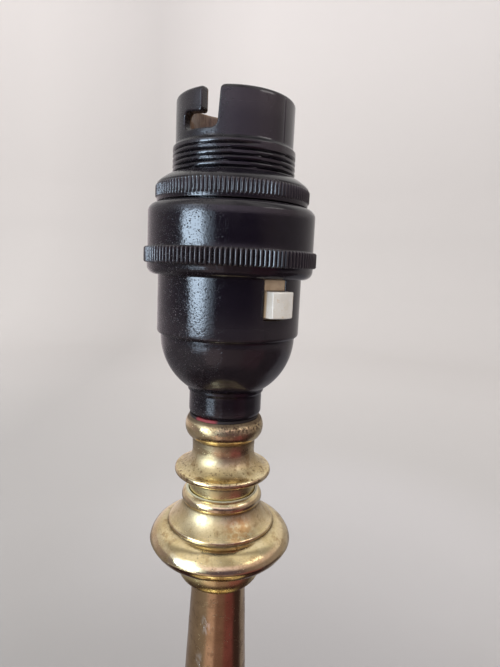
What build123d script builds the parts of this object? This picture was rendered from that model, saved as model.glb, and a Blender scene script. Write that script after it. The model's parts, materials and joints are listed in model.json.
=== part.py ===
from build123d import *
import math
import os

os.makedirs("parts", exist_ok=True)

# Column table lamp with a switched bayonet lampholder. Millimetres, +Z up.
# The origin is on the table under the middle of the base, and -Y is the front.

# Foot of the lamp
PAD_THICK = 2.0
PAD_INSET = 1.5
BASE_R = 59.0
BASE_BAND_H = 13.0
BASE_EDGE_ROUND = 1.6
BASE_H = 32.0
BASE_WALL = 4.5
BASE_ROOF = 3.2
BASE_STEP_R = 54.5
BASE_STEP_H = 2.2
BASE_WAIST_R = 27.0
BASE_WAIST_SHARE = 0.45
BASE_SLOPE_IN = 0.62
BASE_SLOPE_UP = 0.38
BASE_COVE_IN = 0.7
BASE_COVE_UP = 0.58
BASE_TOP_R = 18.5
BASE_BOSS_R = 14.0
BASE_BOSS_H = 13.0
BASE_SPIGOT_R = 9.9
PLATE_THICK = 1.2
PLATE_CLEAR = 0.3
PLATE_LEDGE = 1.5
WEIGHT_R = 45.0
WEIGHT_BORE_R = 20.0
WEIGHT_H = 7.0

# Cord inlet in the back of the base
BUSH_BORE_R = 2.9
BUSH_WALL = 0.8
BUSH_FLANGE = 1.0
BUSH_FLANGE_THICK = 1.4
BUSH_SINK = 0.25
BUSH_CLEAR = 0.1
BUSH_TAIL = 1.2

# Hollow tie tube and what clamps it
TUBE_R = 5.0
TUBE_WALL = 1.25
TUBE_CLEAR = 0.3
THREAD_CLEAR = 0.08
TUBE_TAIL = 2.5
NUT_FLATS = 17.0
NUT_H = 5.0
WASHER_R = 11.0
WASHER_THICK = 1.5

# Brass stack above the base
SPIGOT_H = 3.0
SPIGOT_CLEAR = 0.1
COLLAR_H = 15.0
COLLAR_BEAD_R = 20.2
COLLAR_NECK_R = 14.2
COLLAR_LIP_R = 15.2
COLLAR_BEAD_SHARE = 0.24
COLLAR_BEAD_SINK = 1.0
COLLAR_COVE_SHARE = 0.46
COLLAR_COVE_SAG = 0.6
COLLAR_COVE_UP = 0.35
COLLAR_LIP_SHARE = 0.78
COLUMN_LENGTH = 130.0
COLUMN_TOP_WALL = 1.6
COLUMN_FOOT_R = 12.6
COLUMN_WALL = 1.6
COLUMN_TOP_LAND = 12.0
COLUMN_SPIGOT_WALL = 0.8

# Upper knop, heights from its foot
KNOP_FOOT_R = 7.6
KNOP_CUP_R = 10.7
KNOP_CUP_H = 7.4
KNOP_CUP_SAG = 0.7
KNOP_CUP_SAG_H = 1.78
KNOP_CUP_EDGE = 0.5
KNOP_CUP_EDGE_H = 0.8
KNOP_BULGE_R = 17.95
KNOP_BULGE_H = 11.8
KNOP_UNDER_IN = 2.0
KNOP_UNDER_SHARE = 0.62
KNOP_OVER_IN = 1.45
KNOP_OVER_SHARE = 0.68
KNOP_CREASE_R = 13.3
KNOP_CREASE_H = 15.9
KNOP_STEP = 1.2
KNOP_STEP_LEAN = 0.05
KNOP_STEP_LAND = 0.54
KNOP_STEP_SOFT = 0.12
KNOP_STEP_SOFT_H = 0.98
KNOP_STEP_EDGE = 0.5
KNOP_WAIST_R = 9.75
KNOP_WAIST_H = 21.7
KNOP_COVE_OUT = 1.0
KNOP_COVE_DOWN = 2.6
KNOP_COLLAR_R = 10.15
KNOP_COLLAR_SHARE = 0.45
KNOP_RIM_R = 8.9
KNOP_H = 24.8
KNOP_RECESS = 3.0

# Top nozzle, heights from the knop's rim
NOZZLE_NECK_R = 8.3
NOZZLE_NECK_H = 2.6
NOZZLE_FLANGE_R = 12.08
NOZZLE_FLANGE_H = 5.1
NOZZLE_FLANGE_TOP = 5.9
NOZZLE_FLARE_IN = 1.6
NOZZLE_FLARE_H = 1.1
NOZZLE_EDGE = 0.35
NOZZLE_EDGE_H = 0.75
NOZZLE_WAIST_R = 7.75
NOZZLE_WAIST_H = 10.6
NOZZLE_WAIST_LEAN = 0.1
NOZZLE_COVE_OUT = 0.85
NOZZLE_COVE_H = 1.7
NOZZLE_BEAD_BASE_H = 13.3
NOZZLE_BEAD_R = 9.66
NOZZLE_BEAD_H = 15.9
NOZZLE_BEAD_IN = 1.3
NOZZLE_BEAD_STEP = 0.35
NOZZLE_TOP_R = 8.7
NOZZLE_H = 19.2
RECESS_CLEAR = 0.15

# Red fibre washer, pushed a little off centre towards the front left
FIBRE_R = 8.45
FIBRE_BORE_CLEAR = 0.6
FIBRE_THICK = 0.6
FIBRE_SHIFT = 0.5
FIBRE_AZIMUTH = -25.0

# Lampholder body, heights from the bottom of its neck
NECK_R = 8.92
NECK_H = 5.6
NECK_CHAMFER_H = 0.9
NECK_CHAMFER = 0.42
NECK_BEAD_R = 9.35
NECK_BEAD_H = 6.8
NECK_BEAD_STEP = 0.35
DOME_FOOT_R = 10.0
DOME_FOOT_H = 7.1
DOME_INSET = 0.9
DOME_TOP_H = 18.9
DOME_MID_OUT = 0.777
DOME_MID_UP = 0.4446
BODY_R = 17.1
BODY_STEP_H = 20.3
BODY_STEP_LOW = 0.6
BODY_STEP_HIGH = 0.3
BODY_STEP_SOFT = 0.25
BODY_STEP_SOFT_H = 0.35
BODY_H = 42.4
BODY_WALL = 2.5
BODY_SEAT_H = 23.2
BODY_SEAT = 1.4
BODY_FLOOR = 3.0
HOLLOW_MID_OUT = 0.72
HOLLOW_MID_UP = 0.38
TUBE_IN_NECK = 9.4

# Press bar
SWITCH_AZIMUTH = 36.0
BAR_W = 5.75
BAR_H = 5.65
BAR_FLOOR_H = 25.4
BAR_TRAVEL = 3.2
BAR_END_RISE = 0.85
BAR_CLEAR = 0.13
BAR_EDGE = 0.35
WINDOW_BELOW = 0.65
PEG_R = 0.9
PEG_H = 1.5
PEG_LENGTH = 3.0
PEG_POST = 0.8
PEG_CLEAR = 0.12

# Switch block and its metal
BLOCK_CLEAR = 0.15
BLOCK_H = 18.9
BLOCK_BOSS_R = 10.2
BLOCK_BOSS_H = 1.8
LUG_SINK = 0.3
LUG_CLEAR = 0.15
CAVITY_HALF_X = 7.0
CAVITY_HALF_Y = 3.0
PLATE_METAL = 1.0
PLATE_HALF_Y = 4.2
PLATE_END = 8.0
PLATE_GAP = 0.8
CHEEK_HALF_X = 1.8
CHEEK_THICK = 0.8
CHEEK_DROP = 1.7
ROCKER_THICK = 3.2
ROCKER_SIDE_CLEAR = 0.3
ROCKER_PIVOT_H = 4.3
ROCKER_HUB_R = 2.0
ROCKER_FINGER_W = 2.4
ROCKER_FINGER_L = 4.6
ROCKER_PRONG = 1.0
ROCKER_FORK_L = 5.2
PIN_R = 0.9
PIN_CLEAR = 0.05
BLADE_THICK = 0.8
BLADE_CLEAR = 0.15
BLADE_ARM_H = 4.0
BLADE_LEG_W = 1.6
BLADE_INSET = 7.25
STRIP_W = 2.2
DETENT_THICK = 0.3
DETENT_POCKET = 1.2
DETENT_HALF_L = 6.0
DETENT_HALF_W = 2.0
DETENT_BITE = 0.45
DETENT_NOTCH = 0.6
DETENT_BUMP_HALF = 1.1
DETENT_RAMP = 1.0
DETENT_RAMP_LEAN = 0.1
DETENT_CROWN_DROP = 0.25

# Contact block, plungers and springs
CONTACT_FLANGE_INSET = 0.3
CONTACT_FLANGE_H = 2.2
CONTACT_RECESS_CLEAR = 0.3
CONTACT_BOSS_H = 14.0
CONTACT_BOSS_CLEAR = 0.2
PLUNGER_X = 5.2
PLUNGER_R = 2.25
PLUNGER_SHOULDER_R = 2.95
PLUNGER_SHOULDER_H = 1.9
PLUNGER_SPIGOT_R = 1.3
PLUNGER_SPIGOT_H = 1.6
PLUNGER_CLEAR = 0.1
PLUNGER_LIP = 1.4
PLUNGER_OUT = 6.5
PLUNGER_TIP_ROUND = 1.2
PLUNGER_REST_GAP = 0.1
SPRING_WIRE_R = 0.3
SPRING_TURNS = 5
SPRING_BORE_CLEAR = 0.3
SCREW_SPREAD = 8.0
SCREW_R = 1.25
SCREW_HEAD_R = 2.2
SCREW_HEAD_H = 1.6
SCREW_BITE = 6.0
SCREW_CLEAR = 0.06
SCREW_SLOT_W = 0.6
SCREW_SLOT_D = 0.7

# Terminals under the switch block
TERMINAL_W = 4.4
TERMINAL_H = 6.5
WIRE_HOLE_R = 1.3
WIRE_HOLE_DEPTH = 4.6
CLAMP_SCREW_R = 1.4
CLAMP_HEAD_R = 2.1
CLAMP_HEAD_H = 1.2
CLAMP_HEIGHT = 2.6

# Bayonet skirt
SKIRT_WALL = 2.35
SKIRT_FLANGE_INSET = 0.1
SKIRT_FLANGE_H = 2.5
SKIRT_H = 28.05
SOCKET_R = 11.25
SOCKET_DEPTH = 9.05
SOCKET_RELIEF = 0.35
RIM_ROUND = 0.8
RIM_INNER_ROUND = 0.4
SCREW_CREST = 0.6
SCREW_TOP_H = 17.4
SCREW_TOP_LAND = 0.82
SCREW_RUNOUT = 0.55
SCREW_PITCH = 1.165
SCREW_DEPTH = 0.5
SCREW_GROOVE_W = 0.52
SCREW_TURNS = 8.0
SCREW_END_AZIMUTH = 22.0

# Bayonet slots, measured down from the rim and sideways from the slot's middle azimuth
SLOT_AZIMUTH = -35.0
SLOT_RIGHT_TOP = 4.85
SLOT_RIGHT_LOW = 4.3
SLOT_LEFT = -4.45
SLOT_TAB = 0.72
SLOT_FLOOR = 8.4
SLOT_TAB_LOW = 5.15
SLOT_END_TOP = 4.4
SLOT_CORNER = 1.4
SLOT_TAB_ROUND = 0.55
SLOT_SHOULDER = 1.3

# Knurled rings
KNURL_COUNT = 122
KNURL_DEPTH = 0.5
KNURL_FLAT = 0.45
KNURL_CHAMFER = 0.3
RING_CLEAR = 0.2
COUPLING_WALL = 2.27
COUPLING_KNURL_OUT = 0.83
COUPLING_LIP_OUT = 0.13
COUPLING_H = 16.1
COUPLING_PLATE = 2.4
COUPLING_TOP_ROUND = 2.0
COUPLING_FOOT_ROUND = 2.1
COUPLING_KNURL_LOW = 2.66
COUPLING_KNURL_HIGH = 6.3
SHADE_RING_GAP = 0.3
SHADE_RING_CLEAR = 0.25
SHADE_RING_H = 6.7
SHADE_RING_WALL = 3.15
SHADE_KNURL_OUT = 0.35
SHADE_KNURL_LOW = 0.88
SHADE_KNURL_HIGH = 3.83
SHADE_TOP_WALL = 0.5
SHADE_TOP_LAND = 0.36
SHADE_TOP_OUT = 0.68
SHADE_TOP_UP = 0.58

# Heights of the stack
BASE_Z = PAD_THICK
COLLAR_Z = BASE_Z + BASE_H
COLUMN_Z = COLLAR_Z + COLLAR_H
KNOP_Z = COLUMN_Z + COLUMN_LENGTH
RIM_Z = KNOP_Z + KNOP_H
NOZZLE_TOP_Z = RIM_Z + NOZZLE_H
HOLDER_Z = NOZZLE_TOP_Z + FIBRE_THICK
BODY_TOP_Z = HOLDER_Z + BODY_H
SEAT_Z = HOLDER_Z + BODY_SEAT_H
BAR_Z = HOLDER_Z + BAR_FLOOR_H
BAR_TOP_Z = BAR_Z + BAR_H
PEG_Z = BAR_TOP_Z + PEG_H
PIVOT_Z = PEG_Z + ROCKER_PIVOT_H
BLOCK_TOP_Z = SEAT_Z + BLOCK_H
METAL_Z = BLOCK_TOP_Z + BLOCK_BOSS_H
METAL_TOP_Z = METAL_Z + PLATE_METAL
SKIRT_Z = BODY_TOP_Z + CONTACT_FLANGE_H
CONTACT_TOP_Z = SKIRT_Z - CONTACT_FLANGE_H + CONTACT_BOSS_H
SKIRT_TOP_Z = SKIRT_Z + SKIRT_H
COUPLING_TOP_Z = SKIRT_Z + SKIRT_FLANGE_H + COUPLING_PLATE
COUPLING_Z = COUPLING_TOP_Z - COUPLING_H
SHADE_RING_Z = COUPLING_TOP_Z + SHADE_RING_GAP

# Radii that follow from the fits
TUBE_HOLE_R = TUBE_R + TUBE_CLEAR
COLUMN_TOP_R = TUBE_HOLE_R + COLUMN_TOP_WALL
COLUMN_SPIGOT_R = TUBE_HOLE_R + COLUMN_SPIGOT_WALL
BUSH_R = BUSH_BORE_R + BUSH_WALL
BODY_BORE_R = BODY_R - BODY_WALL
BLOCK_R = BODY_BORE_R - BLOCK_CLEAR
BLOCK_CHANNEL_H = BAR_H + 2 * BAR_CLEAR
WINDOW_W = BAR_W + 2 * BAR_CLEAR
LUG_R = BODY_R - LUG_SINK
BLADE_OUT = BLOCK_R - BLADE_INSET
DOME_R = BODY_R - DOME_INSET
CONTACT_FLANGE_R = BODY_R - CONTACT_FLANGE_INSET
SKIRT_R = SOCKET_R + SKIRT_WALL
SKIRT_FLANGE_R = BODY_R - SKIRT_FLANGE_INSET
SCREW_CREST_R = SKIRT_R + SCREW_CREST
RELIEF_R = SOCKET_R + SOCKET_RELIEF
CONTACT_BOSS_R = RELIEF_R - CONTACT_BOSS_CLEAR
PLUNGER_WELL_R = PLUNGER_SHOULDER_R + PLUNGER_CLEAR
PLUNGER_HOLE_R = PLUNGER_R + PLUNGER_CLEAR
BAR_OFFSET = BAR_TRAVEL / 2
ROCKER_TILT = math.degrees(math.atan2(BAR_OFFSET, ROCKER_PIVOT_H))
ROCKER_FORK_HALF = PEG_R + PEG_CLEAR
CHEEK_IN = ROCKER_THICK / 2 + ROCKER_SIDE_CLEAR
CHEEK_OUT = CHEEK_IN + CHEEK_THICK
NEUTRAL_EDGE = CHEEK_HALF_X + PLATE_GAP
STRIP_X = NEUTRAL_EDGE + STRIP_W / 2
COUPLING_BORE_R = BODY_R + RING_CLEAR
COUPLING_R = COUPLING_BORE_R + COUPLING_WALL
COUPLING_KNURL_R = COUPLING_R + COUPLING_KNURL_OUT
COUPLING_LIP_R = COUPLING_R + COUPLING_LIP_OUT
SHADE_BORE_R = SCREW_CREST_R + SHADE_RING_CLEAR
SHADE_RING_R = SHADE_BORE_R + SHADE_RING_WALL
SHADE_KNURL_R = SHADE_RING_R + SHADE_KNURL_OUT

# Share of a quarter round's radius that lies outside the middle of its arc
ARC_SHARE = 1 - math.sqrt(0.5)


def turned(start, *steps):
    """Solid turned about Z. A step is a (radius, height) point, or an arc's (middle, end)."""
    edges = []
    here = start
    for step in steps:
        if isinstance(step[0], tuple):
            edges.append(ThreePointArc(here, step[0], step[1]))
            here = step[1]
        else:
            edges.append(Line(here, step))
            here = step
    edges.append(Line(here, start))
    return revolve(Plane.XZ * make_face(edges), Axis.Z)


def between(start, end, share):
    """Value part of the way from one to another."""
    return start + (end - start) * share


def tube(outer, inner, low, high):
    """Plain sleeve on the Z axis."""
    return turned((inner, low), (outer, low), (outer, high), (inner, high))


def rod(radius, low, high, x=0.0, y=0.0):
    """Plain cylinder along Z."""
    return Pos(x, y, low) * Cylinder(radius, high - low, align=(Align.CENTER, Align.CENTER, Align.MIN))


def block(x0, x1, y0, y1, z0, z1):
    """Box from its corners."""
    return Pos(x0, y0, z0) * Box(x1 - x0, y1 - y0, z1 - z0, align=(Align.MIN, Align.MIN, Align.MIN))


def to_switch(shape):
    """Turn a shape made along X so that +X points where the press bar stands out."""
    return Rot(0, 0, SWITCH_AZIMUTH - 90) * shape


def save(shape, node):
    """Write one sub-part."""
    shape.label = node
    export_step(shape, f"parts/{node}.step")


def knurl(tip, low, high):
    """Band of straight ribs with chamfered ends."""
    root = tip - KNURL_DEPTH
    pitch = 2 * math.pi / KNURL_COUNT
    points = []
    for i in range(KNURL_COUNT):
        for radius, share in ((root, 0.0), (tip, 0.5 - KNURL_FLAT / 2), (tip, 0.5 + KNURL_FLAT / 2)):
            angle = (i + share) * pitch
            points.append((radius * math.cos(angle), radius * math.sin(angle)))
    ribs = Pos(0, 0, low) * extrude(make_face(Polyline(*points, close=True)), high - low)
    core = root - KNURL_DEPTH
    shoulder = tip - KNURL_CHAMFER
    envelope = turned(
        (core, low), (shoulder, low), (tip, low + KNURL_CHAMFER),
        (tip, high - KNURL_CHAMFER), (shoulder, high), (core, high))
    return ribs & envelope


def baize_pad():
    return rod(BASE_R - PAD_INSET, 0, PAD_THICK)


def bottom_plate():
    return rod(BASE_R - BASE_WALL - PLATE_CLEAR, BASE_Z, BASE_Z + PLATE_THICK)


def base_outline_heights():
    """Heights of the band's top, the step's top and the waist's foot."""
    band = BASE_Z + BASE_BAND_H
    step = band + BASE_STEP_H
    waist = between(step, COLLAR_Z, BASE_WAIST_SHARE)
    return band, step, waist


def bush_height():
    """Height of the cord inlet's axis: the middle of the band."""
    return BASE_Z + BASE_BAND_H / 2


def base_shell():
    band, step, waist = base_outline_heights()
    rise = BASE_EDGE_ROUND
    soft = rise * ARC_SHARE
    outside = turned(
        (0, BASE_Z), (BASE_R - rise, BASE_Z),
        ((BASE_R - soft, BASE_Z + soft), (BASE_R, BASE_Z + rise)),
        (BASE_R, band - rise),
        ((BASE_R - soft, band - soft), (BASE_R - rise, band)),
        (BASE_STEP_R, band), (BASE_STEP_R, step),
        ((between(BASE_STEP_R, BASE_WAIST_R, BASE_SLOPE_IN), between(step, waist, BASE_SLOPE_UP)),
         (BASE_WAIST_R, waist)),
        ((between(BASE_WAIST_R, BASE_TOP_R, BASE_COVE_IN), between(waist, COLLAR_Z, BASE_COVE_UP)),
         (BASE_TOP_R, COLLAR_Z)),
        (0, COLLAR_Z))
    inner = BASE_R - BASE_WALL
    ledge = BASE_Z + PLATE_THICK
    roof = band - BASE_ROOF
    boss = COLLAR_Z - BASE_BOSS_H
    hollow = turned(
        (BASE_BOSS_R, ledge), (inner - PLATE_LEDGE, ledge), (inner - PLATE_LEDGE, roof),
        (BASE_STEP_R - BASE_WALL, roof), (BASE_WAIST_R, waist - BASE_ROOF), (BASE_BOSS_R, waist - BASE_ROOF))
    shell = outside - hollow - rod(inner, BASE_Z, ledge) - rod(BASE_BOSS_R, ledge, boss)
    spigot = tube(BASE_SPIGOT_R, TUBE_HOLE_R, COLLAR_Z, COLLAR_Z + SPIGOT_H)
    shell = shell + spigot - rod(TUBE_HOLE_R, boss, COLLAR_Z + SPIGOT_H)
    lift = bush_height()
    hole = BUSH_R + BUSH_CLEAR
    seat = BUSH_R + BUSH_FLANGE + BUSH_CLEAR
    face = BASE_R - BUSH_SINK
    tunnel = along_y(hole, face - 2 * BASE_WALL, face, lift)
    pocket = along_y(seat, face - BUSH_FLANGE_THICK, face + BASE_WALL, lift)
    return shell - tunnel - pocket


def along_y(radius, start, end, lift):
    """Cylinder along +Y at a height."""
    drum = Cylinder(radius, end - start, align=(Align.CENTER, Align.CENTER, Align.MIN))
    return Pos(0, start, lift) * Rot(-90, 0, 0) * drum


def cord_bush():
    lift = bush_height()
    face = BASE_R - BUSH_SINK
    tail = BASE_R - BASE_WALL - PLATE_LEDGE - BUSH_TAIL
    flange = along_y(BUSH_R + BUSH_FLANGE, face - BUSH_FLANGE_THICK, face, lift)
    sleeve = along_y(BUSH_R, tail, face, lift)
    return flange + sleeve - along_y(BUSH_BORE_R, tail, face, lift)


def base_weight():
    low = BASE_Z + PLATE_THICK
    return tube(WEIGHT_R, WEIGHT_BORE_R, low, low + WEIGHT_H)


def base_washer():
    top = COLLAR_Z - BASE_BOSS_H
    return tube(WASHER_R, TUBE_HOLE_R, top - WASHER_THICK, top)


def base_nut():
    top = COLLAR_Z - BASE_BOSS_H - WASHER_THICK
    prism = extrude(RegularPolygon(NUT_FLATS / 2, 6, major_radius=False), NUT_H)
    return Pos(0, 0, top - NUT_H) * prism - rod(TUBE_R + THREAD_CLEAR, top - NUT_H, top)


def tie_tube():
    low = COLLAR_Z - BASE_BOSS_H - WASHER_THICK - NUT_H - TUBE_TAIL
    return tube(TUBE_R, TUBE_R - TUBE_WALL, low, HOLDER_Z + TUBE_IN_NECK)


def column_inner_r(height):
    """Radius of the column's hollow at a height above its foot."""
    taper = (COLUMN_TOP_R - COLUMN_FOOT_R) / COLUMN_LENGTH
    return COLUMN_FOOT_R + taper * height - COLUMN_WALL


def base_collar():
    spigot_r = column_inner_r(SPIGOT_H) - SPIGOT_CLEAR
    top = COLUMN_Z
    mid = between(COLLAR_Z, top, COLLAR_BEAD_SHARE)
    cove = between(COLLAR_Z, top, COLLAR_COVE_SHARE)
    lip = between(COLLAR_Z, top, COLLAR_LIP_SHARE)
    body = turned(
        (0, COLLAR_Z), (BASE_TOP_R, COLLAR_Z),
        ((COLLAR_BEAD_R, mid), (BASE_TOP_R - COLLAR_BEAD_SINK, cove)),
        ((COLLAR_NECK_R + COLLAR_COVE_SAG, between(cove, lip, COLLAR_COVE_UP)), (COLLAR_NECK_R, lip)),
        ((COLLAR_LIP_R, (lip + top) / 2), (COLLAR_NECK_R, top)),
        (spigot_r, top), (spigot_r, top + SPIGOT_H), (0, top + SPIGOT_H))
    recess = rod(BASE_SPIGOT_R + SPIGOT_CLEAR, COLLAR_Z, COLLAR_Z + SPIGOT_H)
    return body - recess - rod(TUBE_HOLE_R, COLLAR_Z, top + SPIGOT_H)


def column():
    top = KNOP_Z
    land = top - COLUMN_TOP_LAND
    outside = turned(
        (0, COLUMN_Z), (COLUMN_FOOT_R, COLUMN_Z), (COLUMN_TOP_R, top),
        (COLUMN_SPIGOT_R, top), (COLUMN_SPIGOT_R, top + SPIGOT_H), (0, top + SPIGOT_H))
    hollow = turned(
        (0, COLUMN_Z), (column_inner_r(0), COLUMN_Z),
        (max(TUBE_HOLE_R, column_inner_r(land - COLUMN_Z)), land), (0, land))
    return outside - hollow - rod(TUBE_HOLE_R, land, top + SPIGOT_H)


def upper_knop():
    foot = KNOP_Z
    cup = foot + KNOP_CUP_H
    bulge = foot + KNOP_BULGE_H
    crease = foot + KNOP_CREASE_H
    waist = foot + KNOP_WAIST_H
    rim = RIM_Z
    body = turned(
        (0, foot), (KNOP_FOOT_R, foot),
        ((KNOP_CUP_R - KNOP_CUP_SAG, foot + KNOP_CUP_SAG_H), (KNOP_CUP_R, cup - KNOP_CUP_EDGE_H)),
        (KNOP_CUP_R - KNOP_CUP_EDGE, cup),
        ((KNOP_BULGE_R - KNOP_UNDER_IN, between(bulge, cup, KNOP_UNDER_SHARE)), (KNOP_BULGE_R, bulge)),
        ((KNOP_BULGE_R - KNOP_OVER_IN, between(bulge, crease, KNOP_OVER_SHARE)), (KNOP_CREASE_R, crease)),
        (KNOP_CREASE_R + KNOP_STEP_LEAN, crease + KNOP_STEP_LAND),
        ((KNOP_CREASE_R - KNOP_STEP_SOFT, crease + KNOP_STEP_SOFT_H),
         (KNOP_CREASE_R - KNOP_STEP_EDGE, crease + KNOP_STEP)),
        ((KNOP_WAIST_R + KNOP_COVE_OUT, waist - KNOP_COVE_DOWN), (KNOP_WAIST_R, waist)),
        ((KNOP_COLLAR_R, between(waist, rim, KNOP_COLLAR_SHARE)), (KNOP_RIM_R, rim)),
        (0, rim))
    recess = rod(NOZZLE_NECK_R + RECESS_CLEAR, rim - KNOP_RECESS, rim)
    socket = rod(COLUMN_SPIGOT_R + SPIGOT_CLEAR, foot, foot + SPIGOT_H)
    return body - recess - socket - rod(TUBE_HOLE_R, foot, rim)


def top_nozzle():
    low = RIM_Z - KNOP_RECESS
    neck = RIM_Z + NOZZLE_NECK_H
    flange = RIM_Z + NOZZLE_FLANGE_H
    flange_top = RIM_Z + NOZZLE_FLANGE_TOP
    waist = RIM_Z + NOZZLE_WAIST_H
    bead_base = RIM_Z + NOZZLE_BEAD_BASE_H
    bead = RIM_Z + NOZZLE_BEAD_H
    edge = NOZZLE_FLANGE_R - NOZZLE_EDGE
    body = turned(
        (0, low), (NOZZLE_NECK_R, low), (NOZZLE_NECK_R, neck),
        ((NOZZLE_FLANGE_R - NOZZLE_FLARE_IN, neck + NOZZLE_FLARE_H), (edge, flange - NOZZLE_EDGE_H)),
        ((NOZZLE_FLANGE_R, flange), (edge, flange_top)),
        ((NOZZLE_WAIST_R + NOZZLE_COVE_OUT, flange_top + NOZZLE_COVE_H), (NOZZLE_WAIST_R, waist)),
        (NOZZLE_WAIST_R + NOZZLE_WAIST_LEAN, bead_base),
        (NOZZLE_BEAD_R - NOZZLE_BEAD_IN, bead_base + NOZZLE_BEAD_STEP),
        ((NOZZLE_BEAD_R, bead), (NOZZLE_TOP_R, NOZZLE_TOP_Z)),
        (0, NOZZLE_TOP_Z))
    return body - rod(TUBE_HOLE_R, low, NOZZLE_TOP_Z)


def fibre_washer():
    angle = math.radians(FIBRE_AZIMUTH)
    ring = tube(FIBRE_R, TUBE_R + FIBRE_BORE_CLEAR, NOZZLE_TOP_Z, HOLDER_Z)
    return Pos(FIBRE_SHIFT * math.sin(angle), -FIBRE_SHIFT * math.cos(angle), 0) * ring


def lower_body():
    z = HOLDER_Z
    step = z + BODY_STEP_H
    dome_mid = (
        between(DOME_FOOT_R, DOME_R, DOME_MID_OUT), z + between(DOME_FOOT_H, DOME_TOP_H, DOME_MID_UP))
    outside = turned(
        (0, z), (NECK_R - NECK_CHAMFER, z), (NECK_R, z + NECK_CHAMFER_H), (NECK_R, z + NECK_H),
        (NECK_BEAD_R, z + NECK_H + NECK_BEAD_STEP), (NECK_BEAD_R, z + NECK_BEAD_H),
        (DOME_FOOT_R, z + DOME_FOOT_H), (dome_mid, (DOME_R, z + DOME_TOP_H)),
        (DOME_R, step - BODY_STEP_LOW),
        ((BODY_R - BODY_STEP_SOFT, step - BODY_STEP_SOFT_H), (BODY_R, step + BODY_STEP_HIGH)),
        (BODY_R, BODY_TOP_Z), (0, BODY_TOP_Z))
    throat = z + DOME_FOOT_H + BODY_FLOOR
    shelf_r = BODY_BORE_R - BODY_SEAT
    hollow = turned(
        (0, throat), (TUBE_R + BODY_FLOOR / 2, throat),
        ((between(TUBE_R, shelf_r, HOLLOW_MID_OUT), between(throat, SEAT_Z, HOLLOW_MID_UP)),
         (shelf_r, SEAT_Z - BODY_SEAT)),
        (shelf_r, SEAT_Z), (BODY_BORE_R, SEAT_Z), (BODY_BORE_R, BODY_TOP_Z), (0, BODY_TOP_Z))
    window = block(
        -2 * BODY_R, 2 * BODY_R, -WINDOW_W / 2, WINDOW_W / 2, BAR_Z - WINDOW_BELOW, BODY_TOP_Z)
    return outside - hollow - rod(TUBE_R + THREAD_CLEAR, z, throat) - to_switch(window)


def switch_block():
    channel_low = BAR_Z - BAR_CLEAR
    channel_top = channel_low + BLOCK_CHANNEL_H
    body = rod(BLOCK_R, SEAT_Z, BLOCK_TOP_Z) + rod(BLOCK_BOSS_R, BLOCK_TOP_Z, METAL_Z)
    lug_half = WINDOW_W / 2 - LUG_CLEAR
    lugs = block(-LUG_R, LUG_R, -lug_half, lug_half, channel_top, BLOCK_TOP_Z) & rod(LUG_R, SEAT_Z, METAL_Z)
    body = body + lugs
    body = body - block(-BODY_R, BODY_R, -WINDOW_W / 2, WINDOW_W / 2, channel_low, channel_top)
    body = body - block(
        -CAVITY_HALF_X, CAVITY_HALF_X, -CAVITY_HALF_Y, CAVITY_HALF_Y, channel_top, METAL_Z)
    pocket = DETENT_HALF_L + BLADE_CLEAR
    body = body - block(
        -pocket, pocket, -DETENT_HALF_W - BLADE_CLEAR, DETENT_HALF_W + BLADE_CLEAR,
        channel_low - DETENT_POCKET, channel_low)
    strip_x = STRIP_X + STRIP_W / 2 + BLADE_CLEAR
    body = body - block(
        -strip_x, -strip_x + STRIP_W + 2 * BLADE_CLEAR,
        -BLADE_OUT - BLADE_CLEAR, -BLADE_OUT + BLADE_THICK + BLADE_CLEAR, SEAT_Z, METAL_Z)
    face = blade_x()
    body = body - block(
        face - BLADE_CLEAR, face + BLADE_THICK + BLADE_CLEAR, 0, BLADE_OUT + BLADE_CLEAR, blade_low(), METAL_Z)
    body = body - block(
        face - BLADE_CLEAR, face + BLADE_THICK + BLADE_CLEAR,
        BLADE_OUT - BLADE_LEG_W - BLADE_CLEAR, BLADE_OUT + BLADE_CLEAR, SEAT_Z, blade_low())
    for side in (-1, 1):
        body = body - rod(SCREW_R + SCREW_CLEAR, METAL_Z - SCREW_BITE, METAL_Z, 0, side * SCREW_SPREAD)
    return to_switch(body)


def push_bar():
    back = -BODY_R
    front = BODY_R + BAR_TRAVEL
    half = BAR_W / 2
    outline = [
        Line((back + BAR_END_RISE, -half), (front - BAR_END_RISE, -half)),
        ThreePointArc((front - BAR_END_RISE, -half), (front, 0), (front - BAR_END_RISE, half)),
        Line((front - BAR_END_RISE, half), (back + BAR_END_RISE, half)),
        ThreePointArc((back + BAR_END_RISE, half), (back, 0), (back + BAR_END_RISE, -half))]
    bar = extrude(make_face(outline), BAR_H)
    ends = bar.faces().sort_by(Axis.X)
    bar = fillet(ends[0].edges() + ends[-1].edges(), BAR_EDGE)
    bar = Pos(0, 0, BAR_Z) * bar
    post = block(
        BAR_OFFSET - PEG_POST / 2, BAR_OFFSET + PEG_POST / 2, -PEG_LENGTH / 2, PEG_LENGTH / 2, BAR_TOP_Z, PEG_Z)
    peg = Pos(BAR_OFFSET, -PEG_LENGTH / 2, PEG_Z) * Rot(-90, 0, 0) * Cylinder(
        PEG_R, PEG_LENGTH, align=(Align.CENTER, Align.CENTER, Align.MIN))
    bar = bar + post + peg
    reach = DETENT_BUMP_HALF + BLADE_CLEAR
    for place in (0.0, BAR_TRAVEL):
        groove = [
            Line((place - reach, 0), (place + reach, 0)),
            ThreePointArc((place + reach, 0), (place, DETENT_NOTCH), (place - reach, 0))]
        cut = extrude(Plane.XZ * make_face(groove), BAR_W, both=True)
        bar = bar - Pos(0, 0, BAR_Z) * cut
    return to_switch(bar)


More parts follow.
